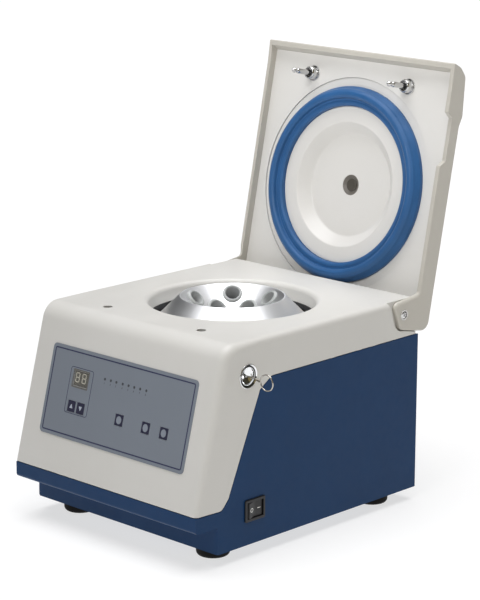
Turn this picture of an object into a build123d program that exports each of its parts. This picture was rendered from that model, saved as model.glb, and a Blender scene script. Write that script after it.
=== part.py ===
from build123d import *
import os
from math import sin, cos, tan, acos, atan, radians, sqrt, pi, degrees, hypot

# ---------------------------------------------------------------------------
# Bench centrifuge with a tilting lid, a twelve place angle rotor and a manual
# lid release.  Working frame while modelling, in millimetres:
#   x = 0 on the plane of symmetry, y = 0 at the front lip, +y to the rear,
#   z = 0 on the underside of the base.  PLACE moves it to the final frame:
#   origin on the bench, under the middle of the body.
# The lid is drawn closed and then swung open about its hinge axis.
# ---------------------------------------------------------------------------

# body
W = 285.0                 # overall width of base, cover and lid
HW = W / 2
D = 359.0                 # depth of the body
FOOT_H = 15.0             # height of the feet
FOOT_R = 19.0
SHEET = 2.0               # base sheet thickness
LIP_Z0, LIP_Z1 = 30.5, 48.5   # painted front lip
TOE_Y = 33.4              # recessed lower front
TOP_Z = 226.2             # top face of the cover
SLOPE = 0.26              # dy/dz of the front face
COVER_T = 3.0             # moulding wall
FRONT_TOP_R = 22.0        # large radius, front face to top
BACK_TOP_R = 10.0         # rear top edge
SIDE_R = 9.0              # side edges of the cover
SEAM_GAP = 0.2            # hairline between cover and base

# chamber
YC = 202.1                # rotor axis, y
OPEN_R = 92.2             # collar bore
OPEN_FIL = 6.0            # rounded mouth of the collar
COLLAR_Z0 = 208.0
BOWL_R = 110.5
BOWL_T = 1.2
BOWL_Z0 = 126.5
BOWL_Z1 = 205.2
FLANGE_R = 113.5

# hinge and lid
HY, HZ = 333.6, 208.8     # hinge axis
LEAN = 11.85              # lid leans back past vertical when open
LID_SWING = 90.0 + LEAN   # total travel
N_OUT = -47.9             # outer face of the lid, along the lid normal
N_HOOD = -51.5            # raised front part of the outer face
N_RIM = -22.5             # rim of the lid walls
N_LINER = -31.6           # inner panel
U_BACK = -17.5
LID_WALL = 5.0
EAR_SWEEP = 18.7          # space round the hinge axis for the lid's ears
LID_TOP_T = 3.0
POCKET_X = HW - LID_WALL - 0.3   # floor of the hinge pockets

# lid round parts
DISC_R = 125.2
DISC_SEAT_R = 125.7
DISC_SINK = 1.3           # the disc lies this far below the inner panel
GASKET_RO, GASKET_RI = 115.2, 92.1
DISH_RI, DISH_RF = 73.3, 60.4
N_DISH, N_FLOOR = -29.1, -41.8
PORT_R = 12.1

# latch pins
PIN_X = 73.2
PIN_U = 254.9
PIN_Y = HY - PIN_U        # 78.7
PIN_R = 3.25
PIN_HOLE_R = 5.25
PIN_TIP_N = 7.9

# rotor
RIM_R, RIM_Z = 59.7, 230.4
TUBE_R = 8.25             # bore of a tube sleeve
SLEEVE_R = 9.9
SLEEVE_FLANGE_R = 11.2
SLEEVE_FLANGE_T = 1.8
SLEEVE_L = 70.6
BORE_L = 66.0
TUBE_TILT = 45.0
RING1_R, RING1_Z = 47.0, 221.5
RING2_R, RING2_Z = 34.4, 208.9
ROTOR_A0 = 133.8          # direction of the first tube
SHAFT_R = 6.0
SHAFT_GAP = 0.05

# motor
MOTOR_R = 50.0
MOTOR_Z0, MOTOR_Z1 = 16.0, 100.0
PLATE_Z0, PLATE_Z1 = 112.0, 115.0
POST_X, POST_DY = 105.0, 95.0
DAMPER_R = 61.0

# front panel
PANEL_W, PANEL_H = 227.4, 101.0
PANEL_ZC = 137.4
OVERLAY_T = 0.8
KEY_TRAVEL = 0.4
KEY_GAP = 0.25

# side fittings
SW_Y, SW_Z = 89.6, 38.6   # power switch
SW_W, SW_H = 31.0, 25.0
ROCKER_TILT = 7.0         # either side of the middle
CUP_Y, CUP_Z = 78.9, 188.4  # release cup
CUP_R = 13.4
CABLE_R = 0.75
RING_RO, RING_WIRE = 10.0, 1.8
RING_X = HW + 24.6
CABLE_DROP = 1.6

# rear fittings
INLET_X, INLET_Z = 95.0, 42.0
FUSE_X, FUSE_Z = 58.0, 42.0

PLACE = Pos(0, -D / 2, FOOT_H)
LID_OPEN = Pos(0, HY, HZ) * Rot(-LID_SWING, 0, 0) * Pos(0, -HY, -HZ)


def rounded_edges(pts):
    """Closed outline from corners (a, b, r): straight runs joined by arcs."""
    n = len(pts)
    corners = []
    for i in range(n):
        a, b, r = pts[i]
        if r <= 0:
            corners.append(((a, b), None, (a, b)))
            continue
        pa, pb = pts[i - 1][0], pts[i - 1][1]
        qa, qb = pts[(i + 1) % n][0], pts[(i + 1) % n][1]
        l1, l2 = hypot(pa - a, pb - b), hypot(qa - a, qb - b)
        v1 = ((pa - a) / l1, (pb - b) / l1)
        v2 = ((qa - a) / l2, (qb - b) / l2)
        ang = acos(v1[0] * v2[0] + v1[1] * v2[1])
        t = r / tan(ang / 2)
        bx, by = v1[0] + v2[0], v1[1] + v2[1]
        bl = hypot(bx, by)
        k = r / sin(ang / 2) - r
        corners.append(((a + v1[0] * t, b + v1[1] * t),
                        (a + bx / bl * k, b + by / bl * k),
                        (a + v2[0] * t, b + v2[1] * t)))
    edges = []
    for i in range(n):
        p_in, mid, p_out = corners[i]
        if mid is not None:
            edges.append(ThreePointArc(p_in, mid, p_out))
        nxt = corners[(i + 1) % n][0]
        if hypot(nxt[0] - p_out[0], nxt[1] - p_out[1]) > 1e-6:
            edges.append(Line(p_out, nxt))
    return edges


def outline(pts):
    return make_face(rounded_edges([p if len(p) == 3 else (*p, 0) for p in pts]))


def along_x(pts, x0, x1):
    """Solid with a (y, z) outline, from x0 to x1."""
    return Pos(x0, 0, 0) * extrude(Plane.YZ * outline(pts), amount=x1 - x0)


def turned(pts, y=0.0):
    """Solid of revolution about the vertical line x=0, y from an (r, z) outline."""
    f = Plane.XZ * outline(pts)
    return Pos(0, y, 0) * revolve(f, axis=Axis.Z, revolution_arc=360)


def cyl(r, z0, z1, x=0.0, y=0.0):
    return Pos(x, y, (z0 + z1) / 2) * Cylinder(r, z1 - z0)


def cyl_x(r, x0, x1, y=0.0, z=0.0):
    return Pos((x0 + x1) / 2, y, z) * Rot(0, 90, 0) * Cylinder(r, x1 - x0)


def cyl_y(r, y0, y1, x=0.0, z=0.0):
    return Pos(x, (y0 + y1) / 2, z) * Rot(90, 0, 0) * Cylinder(r, y1 - y0)


def block(x0, x1, y0, y1, z0, z1):
    return Pos((x0 + x1) / 2, (y0 + y1) / 2, (z0 + z1) / 2) * Box(x1 - x0, y1 - y0, z1 - z0)


def both_sides(s):
    return [s, mirror(s, about=Plane.YZ)]


os.makedirs("parts", exist_ok=True)
NODES = {}


def save(name, *shapes):
    solids = []
    for s in shapes:
        for it in (s if isinstance(s, (list, tuple)) else [s]):
            solids += list(it.solids())
    placed = [PLACE * s for s in solids]
    shape = placed[0] if len(placed) == 1 else Compound(children=placed)
    NODES[name] = shape
    export_step(shape, "parts/" + name + ".step")


# front panel plane: local x to the right, local y up the slope, z outwards
TH = atan(SLOPE)
PANEL = Plane(origin=(0, SLOPE * (PANEL_ZC - LIP_Z1), PANEL_ZC), x_dir=(1, 0, 0),
              z_dir=(0, -cos(TH), sin(TH)))


def pv(z):
    """Height z of the body as a distance up the panel from its middle."""
    return (z - PANEL_ZC) / cos(TH)


def panel_block(x0, x1, v0, v1, w0, w1, r=0.0):
    f = RectangleRounded(x1 - x0, v1 - v0, r) if r > 0 else Rectangle(x1 - x0, v1 - v0)
    s = extrude(Pos((x0 + x1) / 2, (v0 + v1) / 2, w0) * f, amount=w1 - w0, dir=(0, 0, 1))
    return PANEL.location * s


def panel_cyl(r, x, v, w0, w1):
    return PANEL.location * Pos(x, v, (w0 + w1) / 2) * Cylinder(r, w1 - w0)


# ---------------------------------------------------------------- base
side_outline = [
    (0, LIP_Z0, 4.5), (0, LIP_Z1, 0), (39.5, 47.2, 8.0), (49.8, 58.0, 8.0), (97.9, 169.4, 4),
    (115.6, 181.3, 4), (D, 182.5, 0), (D, 0, 0), (TOE_Y, 0, 2.0), (TOE_Y, LIP_Z0, 0)]
base = along_x(side_outline, HW - SHEET, HW)
base += along_x(side_outline, -HW, -HW + SHEET)
base += along_x([(TOE_Y, 0, 2.0), (TOE_Y, SHEET), (D, SHEET), (D, 0)], -HW + 1, HW - 1)
base += block(-HW + 1, HW - 1, TOE_Y, TOE_Y + SHEET, 0, LIP_Z0 + 1)
base += along_x([(0, LIP_Z0, 4.5), (0, LIP_Z1), (SHEET, LIP_Z1), (SHEET, LIP_Z0 + SHEET, 2.5),
                 (TOE_Y + SHEET, LIP_Z0 + SHEET), (TOE_Y + SHEET, LIP_Z0)], -HW + 1, HW - 1)
# inward flange that closes the back of the shelf
base += block(-HW + 1, HW - 1, D - 14, D - SHEET, SHEET - 0.5, SHEET + 0.0)
# switch opening in the right side
base -= block(HW - 6, HW + 1, SW_Y - 14.1, SW_Y + 14.1, SW_Z - 10.9, SW_Z + 10.9)
FEET = [(106, 63.5), (-106, 63.5), (112, 318), (-112, 318)]
for fx, fy in FEET:
    base -= cyl(2.6, -1, 4, fx, fy)
for sx in (-120, 120):
    base -= cyl(2.2, LIP_Z0 - 1, LIP_Z0 + 4, sx, 17)
save("base_chassis", base)

# ---------------------------------------------------------------- rear panel
rear = block(-HW + SHEET + 0.2, HW - SHEET - 0.2, D - SHEET, D, SHEET + 0.2, 182.2)
for gx in (-72, 0, 72):
    for k in range(9):
        z = 84 + k * 9.0
        if gx == 72 and z < 0:
            continue
        slot = Pos(gx, D, z) * Rot(90, 0, 0) * extrude(SlotOverall(52, 3.6), amount=6, both=True)
        rear -= slot
rear -= block(INLET_X - 13.8, INLET_X + 13.8, D - 5, D + 2, INLET_Z - 10.1, INLET_Z + 10.1)
rear -= cyl_y(6.2, D - 5, D + 2, FUSE_X, FUSE_Z)
SCREWS_R = [(sx, sz) for sx in (-132, 132) for sz in (12, 168)] + [(0, 12), (0, 172)]
for sx, sz in SCREWS_R:
    rear -= cyl_y(2.0, D - 5, D + 2, sx, sz)
save("rear_panel", rear)


def pan_screw_y(x, z, y, r_head=3.6, h=2.0, r_shank=1.9, l_shank=8.0):
    """Pan head screw driven along -y, head proud of the face at y."""
    s = turned([(0, -l_shank), (r_shank, -l_shank), (r_shank, 0), (r_head, 0),
                (r_head, h * 0.45, 0.6), (r_head * 0.55, h), (0, h)])
    s -= Pos(0, 0, h) * Box(r_head * 1.1, 0.8, 1.6)
    s -= Pos(0, 0, h) * Box(0.8, r_head * 1.1, 1.6)
    return Pos(x, y, z) * Rot(-90, 0, 0) * s


save("rear_panel_screws", [pan_screw_y(x, z, D) for x, z in SCREWS_R])

# ---------------------------------------------------------------- upper cover
g = SEAM_GAP
y_top_front = SLOPE * (TOP_Z - LIP_Z1)
cover_pts = [
    (0, LIP_Z1 + g, 1.2), (y_top_front, TOP_Z, FRONT_TOP_R), (D, TOP_Z, BACK_TOP_R),
    (D, 182.5 + g, 0), (115.6, 181.3 + g, 4), (97.9 - 0.1, 169.4 + g, 4),
    (49.8, 58.0 + g, 8.0), (39.5, 47.2 + g, 8.0)]
full_pts = [
    (-0.26 * 12, LIP_Z1 - 12, 0), (y_top_front, TOP_Z, FRONT_TOP_R), (D, TOP_Z, BACK_TOP_R), (D, 30, 0)]
full = along_x(full_pts, -HW, HW)


def on_x(e, x):
    b = e.bounding_box()
    return abs(b.min.X - x) < 1e-3 and abs(b.max.X - x) < 1e-3


chain = [e for e in full.edges() if (on_x(e, HW) or on_x(e, -HW))
         and not (e.bounding_box().max.Z < 37)
         and not (e.bounding_box().max.Z < TOP_Z - 5 and e.bounding_box().min.Y > D - 1)]
outer = fillet(chain, SIDE_R)
region = along_x(cover_pts, -HW - 1, HW + 1)
outer = outer & region

t = COVER_T
off = t * sqrt(1 + SLOPE ** 2)
inner_pts = [
    (off - 0.26 * 30, LIP_Z1 - 30, 0), (off + SLOPE * (TOP_Z - t - LIP_Z1), TOP_Z - t, FRONT_TOP_R - t),
    (D - t, TOP_Z - t, BACK_TOP_R - t), (D - t, 20, 0)]
inner = along_x(inner_pts, -HW + t, HW - t)
chain = [e for e in inner.edges() if (on_x(e, HW - t) or on_x(e, -HW + t))
         and not (e.bounding_box().max.Z < 37)
         and not (e.bounding_box().max.Z < TOP_Z - 8 and e.bounding_box().min.Y > D - t - 1)]
inner = fillet(chain, SIDE_R - t)

# hinge pockets, from the space that the lid ears sweep
pocket = along_x([(307.3, TOP_Z + 5), (308.3, 226.2), (311.6, 216.8), (HY - EAR_SWEEP, HZ), (HY, HZ), (HY, HZ - EAR_SWEEP),
                  (D + 5, HZ - EAR_SWEEP - (D + 5 - HY) * tan(radians(LEAN))), (D + 5, TOP_Z + 5)], POCKET_X, HW + 2)
pocket += cyl_x(EAR_SWEEP, POCKET_X, HW + 2, HY, HZ)
pocket_in = along_x([(302.5, TOP_Z + 5), (302.5, 181.3), (D + 5, 181.3), (D + 5, TOP_Z + 5)],
                    POCKET_X - t, HW + 2)
cover = outer - (inner - pocket_in - mirror(pocket_in, about=Plane.YZ))
cover -= pocket
cover -= mirror(pocket, about=Plane.YZ)
# collar of the rotor opening
cover += turned([(OPEN_R, COLLAR_Z0), (OPEN_R + 3, COLLAR_Z0), (OPEN_R + 3, 216, 2), (OPEN_R + 10, TOP_Z - t + 0.0),
                 (OPEN_R + 10, TOP_Z - 0.5), (OPEN_R, TOP_Z - 0.5)], YC)
cover -= turned([(0, 190), (OPEN_R, 190), (OPEN_R, TOP_Z, 0), (OPEN_R, TOP_Z + 5), (0, TOP_Z + 5)], YC)
mouth = turned([(OPEN_R - 1, TOP_Z - OPEN_FIL), (OPEN_R, TOP_Z - OPEN_FIL),
                (OPEN_R + OPEN_FIL, TOP_Z), (OPEN_R + OPEN_FIL, TOP_Z + 1), (OPEN_R - 1, TOP_Z + 1)], YC)
mouth -= Pos(0, YC, TOP_Z - OPEN_FIL) * Torus(OPEN_R + OPEN_FIL, OPEN_FIL)
ring_cut = turned([(OPEN_R - 1, TOP_Z - OPEN_FIL), (OPEN_R + OPEN_FIL, TOP_Z - OPEN_FIL),
                   (OPEN_R + OPEN_FIL, TOP_Z + 1), (OPEN_R - 1, TOP_Z + 1)], YC)
ring_cut -= Pos(0, YC, TOP_Z - OPEN_FIL) * Torus(OPEN_R + OPEN_FIL, OPEN_FIL)
cover -= ring_cut
for sx in (-1, 1):
    # latch pin holes, hinge screw bosses
    cover -= cyl(PIN_HOLE_R, TOP_Z - 8, TOP_Z + 2, sx * PIN_X, PIN_Y)
    x_in = POCKET_X - t
    a, b = sorted((sx * (x_in - 12), sx * (x_in + 0.5)))
    cover += cyl_x(7.5, a, b, HY, HZ)
    a, b = sorted((sx * (x_in - 14), sx * (HW + 5)))
    cover -= cyl_x(2.45, a, b, HY, HZ)
    # bosses for the screws through the front shelf
    cover += block(sx * 120 - 5, sx * 120 + 5, 2.3, 22.0, 35.6, 62.0) & inner
    cover -= cyl(1.7, 30, 55, sx * 120, 17)
# release cup hole in the right side
cover -= cyl_x(9.6, HW - 8, HW + 2, CUP_Y, CUP_Z)

# display, key pockets and board bosses on the front
DISP = (-74.0, -51.2, 8.9, 26.4)
KEYS = {
    "key_up": (-75.4, -63.9, -20.0, -7.7),
    "key_down": (-60.9, -49.4, -20.0, -7.7),
    "key_speed": (0.8, 12.7, -20.0, -7.7),
    "key_start": (42.1, 54.0, -20.0, -7.7),
    "key_stop": (70.0, 81.9, -20.0, -7.7),
}
cover -= panel_block(DISP[0] + 0.4, DISP[1] - 0.4, DISP[2] + 0.4, DISP[3] - 0.4, -6, 1)
for k in KEYS.values():
    cover -= panel_block(k[0] - KEY_GAP, k[1] + KEY_GAP, k[2] - KEY_GAP, k[3] + KEY_GAP, -1.3, 1)
BOARD = (-98.0, 98.0, -40.0, 40.0)
for bx in (-92, 92):
    for bv in (-34, 34):
        cover += panel_cyl(3.6, bx, bv, -11.0, -2.5)
        cover -= panel_cyl(1.3, bx, bv, -11.5, -3.5)
save("upper_cover", cover)

save("cover_screws", [Pos(sx, 17, LIP_Z0) * turned(
    [(0, 18), (1.68, 18), (1.68, 0), (3.8, 0), (3.8, -1.0, 0.5), (2.2, -2.2), (0, -2.2)]) for sx in (-120, 120)])

# ---------------------------------------------------------------- front panel
overlay = panel_block(-PANEL_W / 2, PANEL_W / 2, -PANEL_H / 2, PANEL_H / 2, 0, OVERLAY_T, 5.0)
overlay -= panel_block(DISP[0], DISP[1], DISP[2], DISP[3], -1, 2, 0.8)
for k in KEYS.values():
    overlay -= panel_block(k[0] - KEY_GAP, k[1] + KEY_GAP, k[2] - KEY_GAP, k[3] + KEY_GAP, -1, 2)
save("keypad_overlay", overlay)
save("display_window", panel_block(DISP[0], DISP[1], DISP[2], DISP[3], 0, OVERLAY_T, 0.8))
save("display_module", panel_block(DISP[0] + 0.6, DISP[1] - 0.6, DISP[2] + 0.6, DISP[3] - 0.6, -11.0, -0.3))
for name, k in KEYS.items():
    save(name, panel_block(k[0], k[1], k[2], k[3], -0.7, OVERLAY_T + 0.25, 0.8))
board = panel_block(BOARD[0], BOARD[1], BOARD[2], BOARD[3], -12.6, -11.0)
for bx in (-92, 92):
    for bv in (-34, 34):
        board -= panel_cyl(1.5, bx, bv, -14, -10)
save("control_board", board)
chips = [panel_block(-30, -8, 6, 18, -16.0, -12.6), panel_block(12, 26, 4, 18, -15.2, -12.6),
         panel_block(44, 76, -30, -20, -21.0, -12.6), panel_block(-84, -70, -28, -16, -17.0, -12.6)]
chips += [panel_cyl(4.0, 50 + 11 * i, 22, -25.0, -12.6) for i in range(3)]
save("control_board_parts", chips)
save("board_screws", [PANEL.location * Pos(bx, bv, -12.6) * turned(
    [(0, 8), (1.28, 8), (1.28, 0), (2.8, 0), (2.8, -0.9, 0.4), (1.6, -1.8), (0, -1.8)])
    for bx in (-92, 92) for bv in (-34, 34)])

# ---------------------------------------------------------------- chamber
bowl = turned([(12, BOWL_Z0), (BOWL_R + BOWL_T, BOWL_Z0, 14.0), (BOWL_R + BOWL_T, BOWL_Z1 - BOWL_T),
               (FLANGE_R, BOWL_Z1 - BOWL_T), (FLANGE_R, BOWL_Z1), (BOWL_R, BOWL_Z1),
               (BOWL_R, BOWL_Z0 + BOWL_T, 12.8), (12, BOWL_Z0 + BOWL_T)], YC)
save("chamber_bowl", bowl)
save("chamber_ring", turned([(94.2, BOWL_Z1), (FLANGE_R, BOWL_Z1), (FLANGE_R, BOWL_Z1 + 1.2), (94.2, BOWL_Z1 + 1.2)], YC))
save("chamber_seal", turned([(92.6, BOWL_Z1 - 2.0), (94.2, BOWL_Z1 - 2.0), (94.2, BOWL_Z1 + 1.2), (97.6, BOWL_Z1 + 1.2),
                             (97.6, COLLAR_Z0), (92.6, COLLAR_Z0)], YC))
spacers = [cyl(6, PLATE_Z1, BOWL_Z0, sx * 74, YC + sy * 40) for sx in (-1, 1) for sy in (-1, 1)]
save("bowl_spacers", spacers)

# ---------------------------------------------------------------- motor
plate = block(-119, 119, YC - 109, YC + 109, PLATE_Z0, PLATE_Z1)
plate -= cyl(22, PLATE_Z0 - 1, PLATE_Z1 + 1, 0, YC)
for sx in (-1, 1):
    for sy in (-1, 1):
        plate -= cyl(3.0, PLATE_Z0 - 1, PLATE_Z1 + 1, sx * POST_X, YC + sy * POST_DY)
save("motor_mount_plate", plate)
save("mount_posts", [cyl(7.0, SHEET, PLATE_Z0, sx * POST_X, YC + sy * POST_DY) for sx in (-1, 1) for sy in (-1, 1)])
save("plate_screws", [Pos(sx * POST_X, YC + sy * POST_DY, PLATE_Z1) * turned(
    [(0, -3.0), (2.9, -3.0), (2.9, 0), (5.2, 0), (5.2, 2.4, 0.8), (3.2, 3.6), (0, 3.6)])
    for sx in (-1, 1) for sy in (-1, 1)])
DA = [45, 135, 225, 315]
save("motor_dampers", [Pos(DAMPER_R * cos(radians(a)), YC + DAMPER_R * sin(radians(a)), 0) * turned(
    [(0, 104), (9.5, 104, 0.8), (7.5, 108), (9.5, PLATE_Z0, 0.8), (0, PLATE_Z0)]) for a in DA])
case = turned([(0, MOTOR_Z0), (MOTOR_R, MOTOR_Z0, 4.0), (MOTOR_R, MOTOR_Z1), (73, MOTOR_Z1), (73, 104.0), (30, 104.0),
               (24, 109.5, 1.0), (0, 109.5)], YC)
case -= cyl(43.0, 24, 92, 0, YC)
case -= cyl(9.0, 10, 120, 0, YC)
case -= cyl(13.0, 17.5, 24.5, 0, YC)
case -= cyl(13.0, 91.5, 99.0, 0, YC)
save("motor_housing", case)
save("motor_stator", cyl(43.0, 34, 82, 0, YC) - cyl(27.0, 30, 90, 0, YC))
save("motor_bearings", [cyl(13.0, 17.5, 24.0, 0, YC) - cyl(SHAFT_R + SHAFT_GAP, 10, 30, 0, YC),
                        cyl(13.0, 92.0, 99.0, 0, YC) - cyl(SHAFT_R + SHAFT_GAP, 80, 110, 0, YC)])

# ---------------------------------------------------------------- electronics
save("drive_board", block(-134, -64, 130, 270, 9.0, 10.6))
save("drive_board_parts", [
    block(-130, -110, 140, 262, 10.6, 44.0),
    block(-100, -82, 150, 176, 10.6, 26.0),
    cyl(11.0, 10.6, 46.0, -84, 212), cyl(11.0, 10.6, 46.0, -84, 240),
    block(-104, -70, 132.5, 144, 10.6, 22.0)])
save("board_standoffs", [cyl(3.5, SHEET, 9.0, x, y) for x in (-129, -69) for y in (135, 265)])
core = block(76, 134, 165, 237, 8.0, 66.0)
core -= block(84, 94, 160, 240, 18.0, 56.0)
core -= block(116, 126, 160, 240, 18.0, 56.0)
core += block(70, 138, 176, 226, SHEET, 8.0)
core += block(84.0, 94.0, 160, 242, 18.0, 56.0) + block(116.0, 126.0, 160, 242, 18.0, 56.0)
save("power_transformer", core)

# ---------------------------------------------------------------- rear fittings
inlet = block(INLET_X - 15.6, INLET_X + 15.6, D, D + 2.2, INLET_Z - 12.0, INLET_Z + 12.0)
inlet += block(INLET_X - 13.6, INLET_X + 13.6, D - 20, D + 0.1, INLET_Z - 9.9, INLET_Z + 9.9)
sock = [(-12.1, -8.0, 1.5), (12.1, -8.0, 1.5), (12.1, 3.6, 0), (7.7, 8.0, 0), (-7.7, 8.0, 0), (-12.1, 3.6, 0)]
sock_cut = Pos(INLET_X, D + 3, INLET_Z) * Rot(90, 0, 0) * extrude(outline(sock), amount=18.7)
inlet -= sock_cut
inlet = inlet + [block(INLET_X + dx - 1.0, INLET_X + dx + 1.0, D - 16.0, D - 6.5, INLET_Z + dz - 2.0, INLET_Z + dz + 2.0)
                 for dx, dz in ((-7.0, -2.0), (7.0, -2.0), (0.0, 2.0))]
save("power_inlet", inlet)
fuse = cyl_y(6.0, D - 26, D + 0.1, FUSE_X, FUSE_Z) + cyl_y(8.2, D, D + 2.0, FUSE_X, FUSE_Z)
fuse += cyl_y(6.6, D + 2.0, D + 7.0, FUSE_X, FUSE_Z)
fuse -= block(FUSE_X - 5.2, FUSE_X + 5.2, D + 5.6, D + 8, FUSE_Z - 0.7, FUSE_Z + 0.7)
save("fuse_holder", fuse)

# ---------------------------------------------------------------- feet
foot = turned([(0, -FOOT_H), (FOOT_R - 0.6, -FOOT_H, 4.5), (FOOT_R, 0, 0), (0, 0)])
foot -= cyl(6.0, -FOOT_H - 1, -5.0)
foot -= cyl(2.5, -FOOT_H - 1, 1)
save("rubber_feet", [Pos(x, y, 0) * foot for x, y in FEET])
fscrew = turned([(0, 6.0), (2.4, 6.0), (2.4, -5.0), (4.8, -5.0), (4.8, -7.2, 0.7), (3.0, -8.4), (0, -8.4)])
save("foot_screws", [Pos(x, y, 0) * fscrew for x, y in FEET])

# ---------------------------------------------------------------- power switch
x0 = HW
bezel = extrude(Plane.YZ.offset(x0) * Pos(SW_Y, SW_Z) * RectangleRounded(SW_W, SW_H, 1.8), amount=2.0)
bezel = chamfer(bezel.faces().sort_by(Axis.X)[-1].edges(), 0.7)
bezel += block(x0 - 22, x0 + 0.1, SW_Y - 14.0, SW_Y + 14.0, SW_Z - 10.8, SW_Z + 10.8)
bezel -= block(x0 - 9.0, x0 + 3, SW_Y - 12.4, SW_Y + 12.4, SW_Z - 9.2, SW_Z + 9.2)
save("switch_bezel", bezel)
# the rocker's ends are round about its pivot; at rest its front half stands out
PIVOT_X = x0 - 3.4
rocker = extrude(outline([(5.2, -11.6), (3.3, 0, 16.0), (5.2, 11.6), (-1.0, 12.6), (-4.2, 5.0, 2.0), (-4.2, -5.0, 2.0), (-1.0, -12.6)]),
                 amount=8.9, both=True)
rocker = rocker & Cylinder(12.0, 30)
rocker = Pos(PIVOT_X, SW_Y, SW_Z) * Rot(0, 0, ROCKER_TILT) * rocker
save("power_rocker", rocker)

# ---------------------------------------------------------------- release cup, cable, ring
cup = turned([(1.7, -7.4), (9.4, -7.4), (9.4, -0.2), (CUP_R, -0.2), (CUP_R, 0.5, 0.3), (CUP_R - 1.0, 1.1, 0.4), (12.0, 0.8),
              (9.0, -1.6, 12.0), (3.2, -5.6, 1.0), (1.7, -5.8)])
cup = Pos(HW + 0.2, CUP_Y, CUP_Z) * Rot(0, 90, 0) * cup
save("release_cup", cup)
TAB_X = 110.0
straight = HW + 7.0
cable = cyl_x(CABLE_R, TAB_X + 2.0, straight, CUP_Y, CUP_Z)
dr, arc_a = 14.0, 14.0
# slight sag of the free end: two tangent arcs
c1 = revolve(Pos(straight, CUP_Y, CUP_Z) * Rot(0, 90, 0) * Circle(CABLE_R),
             axis=Axis((straight, CUP_Y, CUP_Z - dr), (0, 1, 0)), revolution_arc=arc_a)
ex, ez = straight + dr * sin(radians(arc_a)), CUP_Z - dr * (1 - cos(radians(arc_a)))
dxy = (cos(radians(arc_a)), -sin(radians(arc_a)))
l2 = 2.6
fx, fz = ex + dxy[0] * l2, ez + dxy[1] * l2
c2 = Pos((ex + fx) / 2, CUP_Y, (ez + fz) / 2) * Rot(0, 90 + arc_a, 0) * Cylinder(CABLE_R, l2)
cable = cable + c1 + c2
save("pull_cable", cable)
# ferrule that closes the cable's eye on the ring, and its stop behind the tab
fl = 4.4
gx, gz = fx + dxy[0] * fl, fz + dxy[1] * fl
ferrule = Pos((fx + gx) / 2, CUP_Y, (fz + gz) / 2) * Rot(0, 90 + arc_a, 0) * Cylinder(1.5, fl)
stop = cyl_x(1.6, TAB_X - 3.0, TAB_X + 0.0, CUP_Y, CUP_Z) + cyl_x(CABLE_R, TAB_X - 0.5, TAB_X + 2.0, CUP_Y, CUP_Z)
save("cable_ferrules", ferrule, stop)
RCX = gx + RING_RO + 0.3
RCZ = gz
w = RING_WIRE / 2
ring = Pos(RCX, CUP_Y, RCZ) * Rot(90, 0, 0) * Torus(RING_RO - w, w)
save("pull_ring", ring)

# ---------------------------------------------------------------- latch
BAR_Z0, BAR_Z1 = 205.8, 207.8
BAR_Y0, BAR_Y1 = 71.6, 85.8
bar = block(-88, TAB_X + 2, BAR_Y0, BAR_Y1, BAR_Z0, BAR_Z1)
bar += block(TAB_X, TAB_X + 2, BAR_Y0, BAR_Y1, CUP_Z - 5.5, BAR_Z1)
for sx in (-1, 1):
    bar -= cyl(5.0, BAR_Z0 - 1, BAR_Z1 + 1, sx * PIN_X, PIN_Y)
    bar -= block(sx * PIN_X, sx * PIN_X + 7.5, PIN_Y - 2.6, PIN_Y + 2.6, BAR_Z0 - 1, BAR_Z1 + 1)
    bar -= cyl(2.6, BAR_Z0 - 1, BAR_Z1 + 1, sx * PIN_X + 7.5, PIN_Y)
bar -= cyl_x(CABLE_R + 0.05, TAB_X - 1, TAB_X + 3, CUP_Y, CUP_Z)
save("latch_bar", bar)
guides = []
for sx in (-1, 1):
    gd = block(sx * PIN_X - 13, sx * PIN_X + 13, PIN_Y - 11.5, PIN_Y + 10.5, 200.0, TOP_Z - t)
    gd -= cyl(5.6, 190, 230, sx * PIN_X, PIN_Y)
    gd -= block(sx * PIN_X - 14, sx * PIN_X + 14, BAR_Y0 - 0.3, BAR_Y1 + 0.3, BAR_Z0 - 0.3, BAR_Z1 + 0.3)
    guides.append(gd)
save("latch_guides", guides)
save("lid_switch", block(-54, -34, PIN_Y - 5.5, PIN_Y + 4.5, TOP_Z - t - 12.0, TOP_Z - t))

# ---------------------------------------------------------------- hinge
screws, bushes = [], []
for sx in (-1, 1):
    s = turned([(0, -19), (2.45, -19), (2.45, -5.3), (3.4, -5.3), (3.4, -1.6), (4.4, -1.6), (4.4, -0.2, 0.5), (2.6, 0.5), (0, 0.5)])
    s -= Pos(0, 0, 0.5) * Box(5.0, 0.9, 1.8)
    s -= Pos(0, 0, 0.5) * Box(0.9, 5.0, 1.8)
    screws.append(Pos(sx * HW, HY, HZ) * Rot(0, 90 * sx, 0) * s)
    b = turned([(3.45, -4.9), (5.0, -4.9), (5.0, 0.0), (6.2, 0.0), (6.2, 0.6, 0.2), (4.6, 0.6), (4.6, -1.7), (3.45, -1.7)])
    bushes.append(Pos(sx * HW, HY, HZ) * Rot(0, 90 * sx, 0) * b)
save("hinge_screws", screws)

# ================================================================= lid, drawn closed
def lid_pt(u, n, r=0.0):
    return (HY - u, HZ - n, r)


shell_pts = [lid_pt(*p) for p in [
    (288.2, -21.0, 1.0), (280.9, -37.6, 9.0), (276.5, -46.0, 9.0), (229.7, N_HOOD, 5.0), (218.0, N_OUT, 5.0),
    (U_BACK, N_OUT, 12.0), (U_BACK, 1.8, 7.0), (10.3, 20.1, 12.5), (26.1, N_RIM, 5.0),
    (171.0, N_RIM, 0), (264.0, N_RIM, 30.0)]]
shell = along_x(shell_pts, -HW, HW)
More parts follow.
